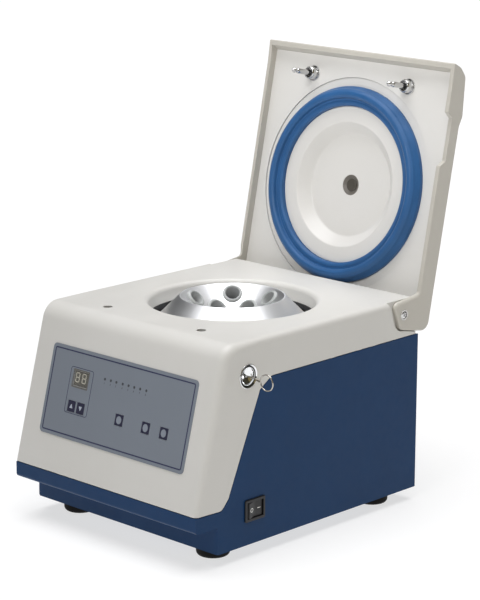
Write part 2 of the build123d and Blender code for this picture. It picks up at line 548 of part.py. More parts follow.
# round the side edges of the outer face and of the front
chain = []
for e in shell.edges():
    if not (on_x(e, HW) or on_x(e, -HW)):
        continue
    b = e.bounding_box()
    if b.min.Z > HZ - N_RIM + 1.0 or (b.max.Z > HZ - N_RIM + 8 and b.min.Y < 52):
        chain.append(e)
shell = fillet(chain, 3.0)
# hollow of the tray
hollow_pts = [lid_pt(*p) for p in [
    (282.2, 60, 0), (282.2, -20, 0), (273.5, -41.2, 8.0), (266.0, -44.9, 4.0), (-14.3, -44.9, 9.0), (-14.3, 60, 0)]]
hollow = along_x(hollow_pts, -HW + LID_WALL, HW - LID_WALL)
shell -= hollow
# the wall between the ears stops above the hinge gap
shell -= along_x([lid_pt(*p) for p in [(35, N_LINER, 0), (35, 60, 0), (-40, 60, 0), (-40, N_LINER, 0)]],
                 -HW + LID_WALL, HW - LID_WALL)
# finger notch in the right wall
shell -= along_x([lid_pt(*p) for p in [(171.5, N_RIM + 8, 0), (171.5, N_RIM, 0), (178.0, N_LINER, 0), (226.0, N_LINER, 0),
                                       (232.0, N_RIM, 0), (232.0, N_RIM + 8, 0)]], HW - LID_WALL - 1, HW + 2)
# centre sight hole and bush seats
yl = YC
shell -= cyl(9.0, HZ + 30, HZ + 60, 0, yl)
shell -= cyl_x(5.0, -HW - 1, HW + 1, HY, HZ)
# ribs under the liner
lid_nodes = {}
lid_nodes["lid_shell"] = shell

ln0 = HZ - N_LINER            # 240.4, face of the liner
liner = along_x([lid_pt(*p) for p in [(277.3, N_LINER), (275.5, N_LINER - 4.0), (-14.2, N_LINER - 4.0), (-14.2, N_LINER)]],
                -HW + LID_WALL + 0.1, HW - LID_WALL - 0.1)
liner -= cyl(DISC_SEAT_R, ln0 - 1, ln0 + DISC_SINK + 1.2, 0, yl)
liner -= cyl(96.0, ln0 - 1, ln0 + 5.0, 0, yl)
for sx in (-1, 1):
    liner -= cyl(3.0, ln0 - 2, ln0 + 5, sx * PIN_X, PIN_Y)
lid_nodes["lid_liner"] = liner
# round backing disc, carries gasket and dish
disc = turned([(96.0, ln0 + DISC_SINK), (DISC_R, ln0 + DISC_SINK), (DISC_R, ln0 + DISC_SINK + 1.2), (96.0, ln0 + DISC_SINK + 1.2)], yl)
lid_nodes["lid_disc"] = disc
gz0 = ln0 + DISC_SINK          # seat of the gasket
bead = HZ + 17.7              # lowest point of the bead
gasket = turned([
    (GASKET_RO, gz0, 0), (GASKET_RO, ln0 - 3.3, 2.5), (110.5, bead + 4.0, 3.0), (107.0, bead, 2.6), (100.5, bead, 2.6),
    (97.8, bead + 4.6, 1.0), (95.2, bead + 4.6, 1.0), (GASKET_RI, bead + 6.4, 1.2), (GASKET_RI, gz0 + 3.0, 0), (95.9, gz0 + 3.0, 0),
    (95.9, gz0, 0)], yl)
lid_nodes["lid_gasket"] = gasket
dz = HZ - N_DISH              # 237.9, face of the dish rim
fz_ = HZ - N_FLOOR            # 250.6, floor of the dish
dish = turned([
    (GASKET_RI - 0.1, dz), (GASKET_RI - 0.1, gz0 + 3.0 - 0.1), (78.0, gz0 + 3.0 - 0.1, 2.0), (66.0, fz_ + 1.5, 2.0), (PORT_R, fz_ + 1.5),
    (PORT_R, fz_ + 0.0, 0.8), (DISH_RF, fz_, 3.0), (DISH_RI, dz, 3.0)], yl)
lid_nodes["lid_dish"] = dish
lid_nodes["lid_port_window"] = cyl(15.0, fz_ + 1.5, fz_ + 3.0, 0, yl)
pins, nuts = [], []
for sx in (-1, 1):
    zb = ln0                 # foot of the pin, on the liner
    tip = HZ - PIN_TIP_N
    p = turned([(0, zb + 4.4), (2.95, zb + 4.4), (2.95, zb - 3.0), (PIN_R, zb - 3.0), (PIN_R, HZ + 3.0), (2.9, HZ + 1.0), (2.0, HZ + 0.0),
                (2.0, HZ - 3.9), (3.2, HZ - 4.2, 0.2), (0.7, tip, 0.4), (0, tip)])
    pins.append(Pos(sx * PIN_X, PIN_Y, 0) * p)
    q = turned([(PIN_R, zb - 10.5), (5.2, zb - 10.5, 1.5), (8.0, zb - 6.6, 3.0), (8.0, zb - 3.0, 1.0), (7.0, zb - 1.5), (9.2, zb - 1.5, 0.4),
                (9.2, zb), (2.98, zb), (2.98, zb - 3.0), (PIN_R, zb - 3.0)])
    nuts.append(Pos(sx * PIN_X, PIN_Y, 0) * q)
lid_nodes["latch_pins"] = pins
lid_nodes["latch_pin_collars"] = nuts
lid_nodes["hinge_bushes"] = bushes
for name, s in lid_nodes.items():
    items = s if isinstance(s, list) else [s]
    save(name, [LID_OPEN * i for i in items])

# ================================================================= rotor
S2 = sqrt(2)
k_in = -171.9                 # r - z on the inner cone
k_un = k_in + 3.0 * S2
k_out = RIM_R + RIM_Z         # r + z on the skirt
k_ski = k_out - 2.5 * S2
ra = (k_ski + k_un) / 2
head = turned([
    (SHAFT_R, 196.0), (24.1, 196.0, 4.0), (RIM_Z + k_in, RIM_Z, 0.9), (RIM_R, RIM_Z, 0.5), (100.0, k_out - 100.0, 2.0), (100.0, 186.9),
    (97.5, 186.9), (97.5, k_ski - 97.5, 0), (ra, k_ski - ra, 1.0), (27.0, 27.0 - k_un, 2.0), (17.5, 190.0, 3.0), (17.5, 166.0),
    (SHAFT_R, 166.0)], YC)


def tube_place(ring_r, ring_z, ang):
    return Pos(0, YC, 0) * Rot(0, 0, ang) * Pos(ring_r, 0, ring_z) * Rot(0, -TUBE_TILT, 0)


PLACES = [(tube_place(RING1_R, RING1_Z, ROTOR_A0 + 60 * i)) for i in range(6)]
PLACES2 = [(tube_place(RING2_R, RING2_Z, ROTOR_A0 + 30 + 60 * i)) for i in range(6)]
for pl in PLACES + PLACES2:
    head -= pl * cyl(SLEEVE_R + 0.05, -26, 1)
    head -= pl * cyl(SLEEVE_FLANGE_R + 0.25, -SLEEVE_FLANGE_T, 4)
save("rotor_head", head)
sleeve = turned([
    (TUBE_R, 0.0), (SLEEVE_FLANGE_R, 0.0, 0.7), (SLEEVE_FLANGE_R, -SLEEVE_FLANGE_T), (SLEEVE_R, -SLEEVE_FLANGE_T),
    (SLEEVE_R, -SLEEVE_L, 3.0), (0, -SLEEVE_L), (0, -SLEEVE_L + 1.6), (7.9, -SLEEVE_L + 1.6), (7.9, -BORE_L), (TUBE_R, -BORE_L)])
cushion = cyl(7.85, -SLEEVE_L + 1.6, -BORE_L)
save("tube_sleeves", [pl * sleeve for pl in PLACES + PLACES2])
save("tube_cushions", [pl * cushion for pl in PLACES + PLACES2])
shaft = turned([(0, 17.5), (SHAFT_R, 17.5, 0.5), (SHAFT_R, 204.0), (4.0, 204.0), (4.0, 214.0, 0.8), (0, 214.0)], YC)
save("motor_shaft", shaft)
arm = turned([(SHAFT_R, 36), (26.0, 36), (26.0, 80), (SHAFT_R, 80)], YC)
save("motor_armature", arm)
nut = extrude(Pos(0, 0, 197.6) * RegularPolygon(10.0, 6), amount=9.0) + cyl(13.5, 196.0, 197.6) + turned(
    [(0, 206.6), (8.4, 206.6), (8.4, 210.0, 4.0), (4.6, 214.8, 2.0), (0, 214.8)])
nut = Pos(0, YC, 0) * nut
nut -= cyl(SHAFT_R, 190, 204.0, 0, YC)
nut -= cyl(4.0, 200, 214.0, 0, YC)
save("rotor_nut", nut)

total = Compound(children=[s for s in NODES.values()])
bb = total.bounding_box()
print("nodes", len(NODES), "box", [round(v, 1) for v in (bb.min.X, bb.min.Y, bb.min.Z, bb.max.X, bb.max.Y, bb.max.Z)])
print("ring centre", round(RCX, 2), round(CUP_Y - D / 2, 2), round(RCZ + FOOT_H, 2))
for i, pl in enumerate(PLACES + PLACES2):
    m = PLACE * pl * Pos(0, 0, -BORE_L / 2)
    e = PLACE * pl * Pos(0, 0, 1 - BORE_L / 2)
    a = e.position - m.position
    print("bore", i + 1, [round(v / 1000, 6) for v in m.position], [round(v, 6) for v in a])
print("panel normal", [round(v, 5) for v in PANEL.z_dir])
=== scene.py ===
import math
from math import sin, cos, tan, radians, pi, hypot, acos

import bmesh
import bpy
from mathutils import Matrix, Vector


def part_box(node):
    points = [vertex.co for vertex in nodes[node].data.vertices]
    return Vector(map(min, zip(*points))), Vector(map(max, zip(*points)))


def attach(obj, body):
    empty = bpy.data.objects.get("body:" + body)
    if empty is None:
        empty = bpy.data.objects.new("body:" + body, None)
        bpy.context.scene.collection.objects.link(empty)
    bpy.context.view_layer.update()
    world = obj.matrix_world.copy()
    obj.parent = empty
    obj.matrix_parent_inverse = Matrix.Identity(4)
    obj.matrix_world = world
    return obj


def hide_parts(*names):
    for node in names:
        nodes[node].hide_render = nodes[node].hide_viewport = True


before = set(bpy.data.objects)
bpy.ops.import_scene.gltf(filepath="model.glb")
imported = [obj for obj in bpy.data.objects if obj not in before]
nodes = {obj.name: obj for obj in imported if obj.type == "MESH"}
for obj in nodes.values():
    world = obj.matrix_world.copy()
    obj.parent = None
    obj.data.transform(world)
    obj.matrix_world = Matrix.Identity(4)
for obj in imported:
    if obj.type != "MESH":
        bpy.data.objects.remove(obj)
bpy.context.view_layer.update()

scene = bpy.context.scene

# Working coordinates in millimetres: x across, y back from the front lip, z up from the
# underside of the base.  MM takes them to the row frame in metres.
BASE_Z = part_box("base_chassis")[0][2]
MM = Matrix.Translation((0, -0.1795, BASE_Z)) @ Matrix.Scale(0.001, 4)
HW = 142.5
D = 359.0
TOP_Z = 226.2
LIP_Z1 = 48.5
SLOPE = 0.26
YC = 202.1
HY, HZ = 333.6, 208.8
SWING = radians(-101.85)
LID = MM @ Matrix.Translation((0, HY, HZ)) @ Matrix.Rotation(SWING, 4, "X") @ Matrix.Translation((0, -HY, -HZ))
ROTOR = MM @ Matrix.Translation((0, YC, 0))
TH = math.atan(SLOPE)
PANEL_ZC = 137.4
# panel coordinates: x right, y up the slope, z out of the panel
PANEL = MM @ Matrix(((1, 0, 0, 0),
                     (0, sin(TH), -cos(TH), SLOPE * (PANEL_ZC - LIP_Z1)),
                     (0, cos(TH), sin(TH), PANEL_ZC),
                     (0, 0, 0, 1)))


# ----------------------------------------------------------------- shape helpers
def rounded(pts, closed=True, step=9.0):
    """Points of an outline (a, b, r) whose corners are rounded to r."""
    out, n = [], len(pts)
    for i in range(n):
        p = pts[i]
        a, b, r = p if len(p) == 3 else (*p, 0)
        if r <= 0 or (not closed and i in (0, n - 1)):
            out.append((a, b))
            continue
        pa, pb = pts[i - 1][:2]
        qa, qb = pts[(i + 1) % n][:2]
        l1, l2 = hypot(pa - a, pb - b), hypot(qa - a, qb - b)
        v1 = ((pa - a) / l1, (pb - b) / l1)
        v2 = ((qa - a) / l2, (qb - b) / l2)
        ang = acos(max(-1, min(1, v1[0] * v2[0] + v1[1] * v2[1])))
        t = min(r / tan(ang / 2), 0.499 * l1, 0.499 * l2)
        r = t * tan(ang / 2)
        bx, by = v1[0] + v2[0], v1[1] + v2[1]
        bl = hypot(bx, by)
        cx, cy = a + bx / bl * r / sin(ang / 2), b + by / bl * r / sin(ang / 2)
        s = math.atan2(b + v1[1] * t - cy, a + v1[0] * t - cx)
        e = math.atan2(b + v2[1] * t - cy, a + v2[0] * t - cx)
        d = (e - s + pi) % (2 * pi) - pi
        k = max(2, math.ceil(abs(math.degrees(d)) / step))
        for j in range(k + 1):
            w = s + d * j / k
            out.append((cx + r * cos(w), cy + r * sin(w)))
    return out


def lathe(pts, segs=96, closed=True):
    """Mesh of revolution about z from (r, z) points."""
    bm = bmesh.new()
    rings = []
    for r, z in pts:
        if r < 1e-6:
            rings.append([bm.verts.new((0, 0, z))])
        else:
            rings.append([bm.verts.new((r * cos(2 * pi * k / segs), r * sin(2 * pi * k / segs), z)) for k in range(segs)])
    n = len(pts)
    for i in range(n if closed else n - 1):
        a, b = rings[i], rings[(i + 1) % n]
        if len(a) == 1 and len(b) == 1:
            continue
        for k in range(segs):
            j = (k + 1) % segs
            if len(a) == 1:
                bm.faces.new((a[0], b[k], b[j]))
            elif len(b) == 1:
                bm.faces.new((a[k], b[0], a[j]))
            else:
                bm.faces.new((a[k], a[j], b[j], b[k]))
    return bm


def slab(pts, h0, h1, to=lambda a, b, h: (a, b, h)):
    """Prism over a closed outline, between heights h0 and h1."""
    bm = bmesh.new()
    lo = [bm.verts.new(to(a, b, h0)) for a, b in pts]
    hi = [bm.verts.new(to(a, b, h1)) for a, b in pts]
    n = len(pts)
    for i in range(n):
        j = (i + 1) % n
        bm.faces.new((lo[i], lo[j], hi[j], hi[i]))
    bm.faces.new(lo[::-1])
    bm.faces.new(hi)
    bmesh.ops.recalc_face_normals(bm, faces=bm.faces)
    return bm


def ring_slab(outer, inner, h0, h1):
    """Flat frame between two outlines with the same number of points."""
    bm = bmesh.new()
    rows = [[bm.verts.new((a, b, h)) for a, b in line] for line, h in ((outer, h0), (outer, h1), (inner, h1), (inner, h0))]
    n = len(outer)
    for r in range(4):
        p, q = rows[r], rows[(r + 1) % 4]
        for i in range(n):
            j = (i + 1) % n
            bm.faces.new((p[i], p[j], q[j], q[i]))
    bmesh.ops.recalc_face_normals(bm, faces=bm.faces)
    return bm


def yz(a, b, h):
    return (h, a, b)


def xz(a, b, h):
    return (a, h, b)


def rect(x0, x1, y0, y1, r=0.0, step=15.0):
    return rounded([(x0, y0, r), (x1, y0, r), (x1, y1, r), (x0, y1, r)], step=step)


def box(x0, x1, y0, y1, z0, z1):
    return slab([(x0, y0), (x1, y0), (x1, y1), (x0, y1)], z0, z1)


def circle(r, n=48, x=0.0, y=0.0, a0=0.0):
    return [(x + r * cos(a0 + 2 * pi * k / n), y + r * sin(a0 + 2 * pi * k / n)) for k in range(n)]


def moved(bm, m):
    bm.transform(m)
    if m.determinant() < 0:
        bmesh.ops.reverse_faces(bm, faces=bm.faces)
    return bm


def join(*bms):
    out = bmesh.new()
    for b in bms:
        me = bpy.data.meshes.new("join")
        b.to_mesh(me)
        b.free()
        out.from_mesh(me)
        bpy.data.meshes.remove(me)
    return out


def temp_object(bm):
    me = bpy.data.meshes.new("work")
    bmesh.ops.recalc_face_normals(bm, faces=bm.faces)
    bm.to_mesh(me)
    bm.free()
    ob = bpy.data.objects.new("work", me)
    scene.collection.objects.link(ob)
    return ob


def boolean(bm, cutters, op="DIFFERENCE"):
    base = temp_object(bm)
    tools = [temp_object(c) for c in cutters]
    for t in tools:
        m = base.modifiers.new("cut", "BOOLEAN")
        m.object, m.operation, m.solver = t, op, "EXACT"
    bpy.context.view_layer.update()
    me = bpy.data.meshes.new_from_object(base.evaluated_get(bpy.context.evaluated_depsgraph_get()))
    out = bmesh.new()
    out.from_mesh(me)
    bpy.data.meshes.remove(me)
    for o in [base, *tools]:
        old = o.data
        bpy.data.objects.remove(o)
        bpy.data.meshes.remove(old)
    bmesh.ops.remove_doubles(out, verts=out.verts, dist=0.002)
    bmesh.ops.dissolve_degenerate(out, edges=out.edges, dist=0.002)
    return out


def flat_dissolve(bm, deg=0.4):
    bmesh.ops.dissolve_limit(bm, angle_limit=radians(deg), verts=bm.verts, edges=bm.edges, delimit={"NORMAL"})
    return bm


def soften(bm, width, angle=48.0, segs=2, where=None):
    """Rounds the sharp edges."""
    edges = [e for e in bm.edges if len(e.link_faces) == 2 and e.calc_face_angle(0) > radians(angle)
             and (where is None or where(e))]
    bmesh.ops.bevel(bm, geom=edges, offset=width, offset_type="OFFSET", segments=segs, profile=0.5,
                    affect="EDGES", clamp_overlap=True)
    return bm


def piece(name, bm, body, material, xf=MM, slot=None, replaces=(), sharp=35.0, weighted=True):
    bmesh.ops.recalc_face_normals(bm, faces=bm.faces)
    for f in bm.faces:
        f.smooth = True
    for e in bm.edges:
        e.smooth = len(e.link_faces) == 2 and e.calc_face_angle(0) < radians(sharp)
    bm.transform(xf)
    me = bpy.data.meshes.new(name)
    bm.to_mesh(me)
    bm.free()
    ob = bpy.data.objects.new(name, me)
    scene.collection.objects.link(ob)
    me.materials.append(material)
    if weighted:
        w = ob.modifiers.new("normals", "WEIGHTED_NORMAL")
        w.keep_sharp, w.weight, w.mode = True, 50, "FACE_AREA"
    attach(ob, body)
    if replaces:
        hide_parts(*replaces)
    return ob


def from_node(node, new, body, material, slot=None, width=0.0, segs=2, angle=48.0, sharp=35.0, where=None):
    """The shape of a node, with its edges softened."""
    bm = bmesh.new()
    bm.from_mesh(nodes[node].data)
    bm.transform(Matrix.Scale(1000, 4))
    bmesh.ops.remove_doubles(bm, verts=bm.verts, dist=0.003)
    flat_dissolve(bm)
    if width:
        soften(bm, width, angle, segs, where)
    return piece(new, bm, body, material, xf=Matrix.Scale(0.001, 4), slot=slot, replaces=(node,), sharp=sharp)


# ----------------------------------------------------------------- material helpers
def lin(r, g, b):
    f = lambda c: (c / 255 / 12.92) if c <= 10 else ((c / 255 + 0.055) / 1.055) ** 2.4
    return (f(r), f(g), f(b), 1.0)


class Mat:
    """Principled material with object-space procedural detail."""

    def __init__(self, name, colour, rough=0.5, metal=0.0, spec=0.5, **sockets):
        self.m = bpy.data.materials.new(name)
        self.m.use_nodes = True
        self.t = self.m.node_tree
        self.p = self.t.nodes["Principled BSDF"]
        self.p.inputs["Base Color"].default_value = colour
        self.p.inputs["Roughness"].default_value = rough
        self.p.inputs["Metallic"].default_value = metal
        self.p.inputs["Specular IOR Level"].default_value = spec
        for k, v in sockets.items():
            self.p.inputs[k.replace("_", " ")].default_value = v
        self.colour = colour
        self.rough = rough
        self.coord = self.t.nodes.new("ShaderNodeTexCoord").outputs["Object"]
        self.height = None

    def node(self, kind, **props):
        n = self.t.nodes.new(kind)
        for k, v in props.items():
            setattr(n, k, v)
        return n

    def link(self, a, b):
        self.t.links.new(a, b)

    def mapped(self, scale=(1, 1, 1), loc=(0, 0, 0), rot=(0, 0, 0)):
        m = self.node("ShaderNodeMapping")
        m.inputs["Location"].default_value = loc
        m.inputs["Rotation"].default_value = rot
        m.inputs["Scale"].default_value = scale
        self.link(self.coord, m.inputs["Vector"])
        return m.outputs["Vector"]

    def noise(self, scale, detail=3.0, rough=0.5, vec=None, distort=0.0):
        n = self.node("ShaderNodeTexNoise")
        n.inputs["Scale"].default_value = scale
        n.inputs["Detail"].default_value = detail
        n.inputs["Roughness"].default_value = rough
        n.inputs["Distortion"].default_value = distort
        self.link(vec or self.coord, n.inputs["Vector"])
        return n.outputs["Fac"]

    def ramp(self, fac, stops):
        r = self.node("ShaderNodeValToRGB")
        e = r.color_ramp.elements
        while len(e) < len(stops):
            e.new(0.5)
        for el, (pos, col) in zip(e, stops):
            el.position, el.color = pos, col
        self.link(fac, r.inputs["Fac"])
        return r.outputs["Color"]

    def range(self, fac, lo, hi, a=0.3, b=0.7):
        n = self.node("ShaderNodeMapRange")
        n.inputs["From Min"].default_value, n.inputs["From Max"].default_value = a, b
        n.inputs["To Min"].default_value, n.inputs["To Max"].default_value = lo, hi
        self.link(fac, n.inputs["Value"])
        return n.outputs["Result"]

    def vary(self, amount=0.04, scale=14.0, detail=4.0, tint=(1, 1, 1)):
        """Slow change of colour over the surface."""
        c = self.colour
        lo = tuple(max(0.0, v * (1 - amount * tint[i])) for i, v in enumerate(c[:3])) + (1,)
        hi = tuple(min(1.0, v * (1 + amount * tint[i])) for i, v in enumerate(c[:3])) + (1,)
        self.link(self.ramp(self.noise(scale, detail, 0.6), [(0.3, lo), (0.7, hi)]), self.p.inputs["Base Color"])
        return self

    def vary_rough(self, amount=0.06, scale=60.0, detail=3.0):
        self.link(self.range(self.noise(scale, detail), self.rough - amount, self.rough + amount), self.p.inputs["Roughness"])
        return self

    def bump(self, fac, strength=0.1, dist=0.0002):
        b = self.node("ShaderNodeBump")
        b.inputs["Strength"].default_value = strength
        b.inputs["Distance"].default_value = dist
        self.link(fac, b.inputs["Height"])
        if self.height is not None:
            self.link(self.height, b.inputs["Normal"])
        self.height = b.outputs["Normal"]
        self.link(self.height, self.p.inputs["Normal"])
        return self


def moulded(name, colour, rough=0.42, grain=1500.0, depth=0.00006, strength=0.22, var=0.018):
    """Moulded plastic: fine spark-eroded grain, slight flow shading, handling wear."""
    m = Mat(name, colour, rough, spec=0.45)
    m.vary(var, 9.0, 5.0, (1, 1, 1.25))
    m.vary_rough(0.05, 35.0)
    m.bump(m.noise(grain, 2.0, 0.55), strength, depth)
    m.bump(m.noise(26.0, 2.0), 0.05, 0.0006)
    return m.m


def enamel(name, colour, rough=0.36, var=0.05, spec=0.5):
    """Powder coat on sheet steel: orange peel and faint mottling."""
    m = Mat(name, colour, rough, spec=spec)
    m.vary(var, 22.0, 6.0)
    m.vary_rough(0.06, 120.0)
    m.bump(m.noise(620.0, 2.0, 0.5), 0.28, 0.00012)
    m.bump(m.noise(2400.0, 1.0, 0.5), 0.12, 0.00004)
    return m.m


def metal(name, colour, rough=0.2, var=0.03, scratch=0.05, stretch=(1, 1, 1), scale=900.0, aniso=0.0):
    m = Mat(name, colour, rough, metal=1.0)
    if aniso:
        m.p.inputs["Anisotropic"].default_value = aniso
    m.vary(var, 60.0, 4.0)
    m.vary_rough(min(0.07, rough * 0.45), 240.0)
    m.bump(m.noise(scale, 4.0, 0.6, m.mapped(stretch)), scratch, 0.00005)
    return m.m


# ----------------------------------------------------------------- finishes
CREAM = moulded("moulding_cream", (0.674, 0.661, 0.628, 1))
# the lid is the same cream plastic as the cover; this copy is darker and yellower as painted shade and painted warm
# side light on the lid
CREAM_LID_PAINTED_SHADE = moulded("moulding_cream_lid_painted_shade", (0.560, 0.535, 0.480, 1))
LINER = moulded("liner_white", (0.770, 0.755, 0.725, 1), 0.38, 1800.0, 0.00004, 0.15)
DISH = moulded("dish_white", (0.765, 0.750, 0.722, 1), 0.34, 2200.0, 0.00003, 0.12)
NAVY = enamel("enamel_navy", (0.003, 0.037, 0.118, 1), 0.42, 0.05, 0.17)
BLACK_ABS = moulded("black_plastic", (0.014, 0.014, 0.015, 1), 0.42, 1300.0, 0.00008, 0.35, 0.25)
BLACK_SWITCH = moulded("black_switch", (0.008, 0.008, 0.009, 1), 0.40, 1300.0, 0.00005, 0.2, 0.25)
BLACK_INLET = moulded("black_inlet", (0.011, 0.011, 0.012, 1), 0.36, 1600.0, 0.00006, 0.3, 0.25)
RUBBER = moulded("black_rubber", (0.0075, 0.0072, 0.0070, 1), 0.72, 700.0, 0.00015, 0.5, 0.35)
RUBBER.node_tree.nodes["Principled BSDF"].inputs["Specular IOR Level"].default_value = 0.2
SEAL = moulded("seal_rubber", (0.016, 0.016, 0.017, 1), 0.66, 800.0, 0.0001, 0.4, 0.3)
CHROME = metal("chrome", (0.86, 0.87, 0.88, 1), 0.07, 0.02, 0.02)
PIN_STEEL = metal("pin_steel", (0.60, 0.60, 0.60, 1), 0.20, 0.04, 0.05)
STEEL = metal("steel", (0.58, 0.57, 0.55, 1), 0.26, 0.06, 0.08)
ZINC = metal("zinc_screw", (0.66, 0.66, 0.66, 1), 0.24, 0.05, 0.08)
WIRE = metal("steel_wire", (0.50, 0.48, 0.44, 1), 0.20, 0.05, 0.05)
CABLE = metal("cable_wire", (0.30, 0.28, 0.25, 1), 0.38, 0.06, 0.08)
BOWL = moulded("bowl_black", (0.019, 0.014, 0.011, 1), 0.40, 500.0, 0.0001, 0.3, 0.2)
MOTOR = enamel("motor_paint", (0.035, 0.037, 0.042, 1), 0.5)
CASTING = metal("casting", (0.42, 0.43, 0.44, 1), 0.42, 0.08, 0.2, scale=500.0)
COPPER = metal("copper", (0.72, 0.36, 0.18, 1), 0.3, 0.1, 0.1, (1, 1, 8), 700.0)
LAMINATE = metal("laminations", (0.30, 0.30, 0.31, 1), 0.45, 0.08, 0.3, (0.02, 0.02, 1), 1400.0)


def gasket_material():
    m = Mat("gasket_blue", (0.020, 0.104, 0.278, 1), 0.48, spec=0.42)
    m.vary(0.10, 30.0, 6.0)
    m.vary_rough(0.07, 70.0)
    m.bump(m.noise(900.0, 3.0, 0.6), 0.22, 0.00008)
    m.bump(m.noise(60.0, 2.0), 0.12, 0.0005)
    m.p.inputs["Sheen Weight"].default_value = 0.12
    m.p.inputs["Sheen Roughness"].default_value = 0.4
    return m.m


GASKET = gasket_material()


def turned_alloy(name, colour, rough, ring_scale, strength, axis=(0.0, YC / 1000 - 0.1795)):
    """Lathe-turned aluminium: fine rings about the rotor axis."""
    m = Mat(name, colour, rough, metal=1.0)
    v = m.mapped(loc=(-axis[0], -axis[1], 0))
    sep = m.node("ShaderNodeSeparateXYZ")
    m.link(v, sep.inputs[0])
    flat = m.node("ShaderNodeCombineXYZ")
    m.link(sep.outputs[0], flat.inputs[0])
    m.link(sep.outputs[1], flat.inputs[1])
    ln = m.node("ShaderNodeVectorMath", operation="LENGTH")
    m.link(flat.outputs[0], ln.inputs[0])
    rad = ln.outputs["Value"]
    ring = m.node("ShaderNodeTexNoise", noise_dimensions="1D")
    ring.inputs["Scale"].default_value = ring_scale
    ring.inputs["Detail"].default_value = 3.0
    m.link(rad, ring.inputs["W"])
    c = colour
    m.link(m.ramp(ring.outputs["Fac"], [(0.3, (c[0] * 0.93, c[1] * 0.93, c[2] * 0.94, 1)), (0.7, c)]), m.p.inputs["Base Color"])
    m.bump(ring.outputs["Fac"], strength, 0.00006)
    m.p.inputs["Anisotropic"].default_value = 0.7
    around = m.node("ShaderNodeTangent", direction_type="RADIAL", axis="Z")
    m.link(around.outputs["Tangent"], m.p.inputs["Tangent"])
    return m.m


ALLOY = turned_alloy("rotor_alloy", (0.88, 0.885, 0.89, 1), 0.37, 2600.0, 0.10)
SLEEVE = moulded("sleeve_alloy", (0.47, 0.485, 0.48, 1), 0.48, 1100.0, 0.00004, 0.12, 0.03)
SLEEVE_IN = moulded("sleeve_bore", (0.58, 0.59, 0.59, 1), 0.45, 900.0, 0.00005, 0.15, 0.05)


def overlay_material(name, colour, rough=0.44):
    m = Mat(name, colour, rough, spec=0.42)
    m.vary(0.02, 12.0, 4.0)
    m.vary_rough(0.04, 60.0)
    m.bump(m.noise(2600.0, 2.0, 0.6), 0.25, 0.00004)
    m.bump(m.noise(14.0, 2.0), 0.05, 0.001)
    return m.m


FILM = overlay_material("film_grey", (0.196, 0.221, 0.260, 1))
INK = overlay_material("ink_navy", (0.016, 0.016, 0.045, 1), 0.4)
INK_SOFT = overlay_material("ink_soft", (0.055, 0.062, 0.085, 1), 0.45)
INK_LINE = overlay_material("ink_line", (0.026, 0.032, 0.085, 1), 0.42)
INK_BROWN = overlay_material("ink_brown", (0.125, 0.122, 0.110, 1), 0.42)
INK_LIGHT = overlay_material("ink_light", (0.42, 0.46, 0.54, 1), 0.4)
KEY_FACE = overlay_material("key_face", (0.235, 0.262, 0.310, 1), 0.4)
LED_OFF = overlay_material("led_off", (0.055, 0.060, 0.070, 1), 0.3)
MODULE = overlay_material("display_face", (0.20, 0.19, 0.165, 1), 0.38)
DIGIT = overlay_material("display_segment", (0.86, 0.83, 0.70, 1), 0.35)
MARK = overlay_material("switch_mark", (0.86, 0.86, 0.83, 1), 0.4)
BOARD = overlay_material("board_green", (0.010, 0.085, 0.035, 1), 0.35)


def window_material():
    m = Mat("smoked_window", (0.10, 0.10, 0.095, 1), 0.12, spec=0.5)
    m.p.inputs["Alpha"].default_value = 0.14
    m.vary_rough(0.03, 80.0)
    m.bump(m.noise(900.0, 2.0), 0.04, 0.00003)
    return m.m


WINDOW = window_material()


def port_glass_material():
    m = Mat("port_glass", (0.085, 0.078, 0.066, 1), 0.16, spec=0.5)
    m.vary(0.2, 50.0)
    m.vary_rough(0.03, 80.0)
    m.bump(m.noise(60.0, 2.0), 0.05, 0.0002)
    return m.m


PORT_GLASS = port_glass_material()
PORT_RIM = moulded("port_rim", (0.16, 0.145, 0.125, 1), 0.45, 1300.0, 0.00005, 0.2, 0.06)


# ----------------------------------------------------------------- upper cover
def smooth01(t):
    t = max(0.0, min(1.0, t))
    return t * t * (3 - 2 * t)


def stations(profile, marks=()):
    """Open outline with its outward normals and distance along it."""
    pts = rounded(profile, closed=False, step=7.5)
    out = []
    for i in range(len(pts) - 1):
        (a, b), (c, d) = pts[i], pts[i + 1]
        n = max(1, int(hypot(c - a, d - b) // 16)) if hypot(c - a, d - b) > 30 else 1
        for k in range(n):
            out.append((a + (c - a) * k / n, b + (d - b) * k / n))
    out.append(pts[-1])
    res, s = [], 0.0
    for i, (a, b) in enumerate(out):
        if i:
            s += hypot(a - out[i - 1][0], b - out[i - 1][1])
        p, q = out[max(0, i - 1)], out[min(len(out) - 1, i + 1)]
        v1 = Vector((a - p[0], b - p[1]))
        v2 = Vector((q[0] - a, q[1] - b))
        v = (v1.normalized() if v1.length > 1e-9 else v2.normalized()) + (v2.normalized() if v2.length > 1e-9 else v1.normalized())
        v.normalize()
        res.append(((a, b), (-v[1], v[0]), (v[0], v[1]), s))
    return res


LEFT_R = 0.32                      # the left side edge is tighter than the right one


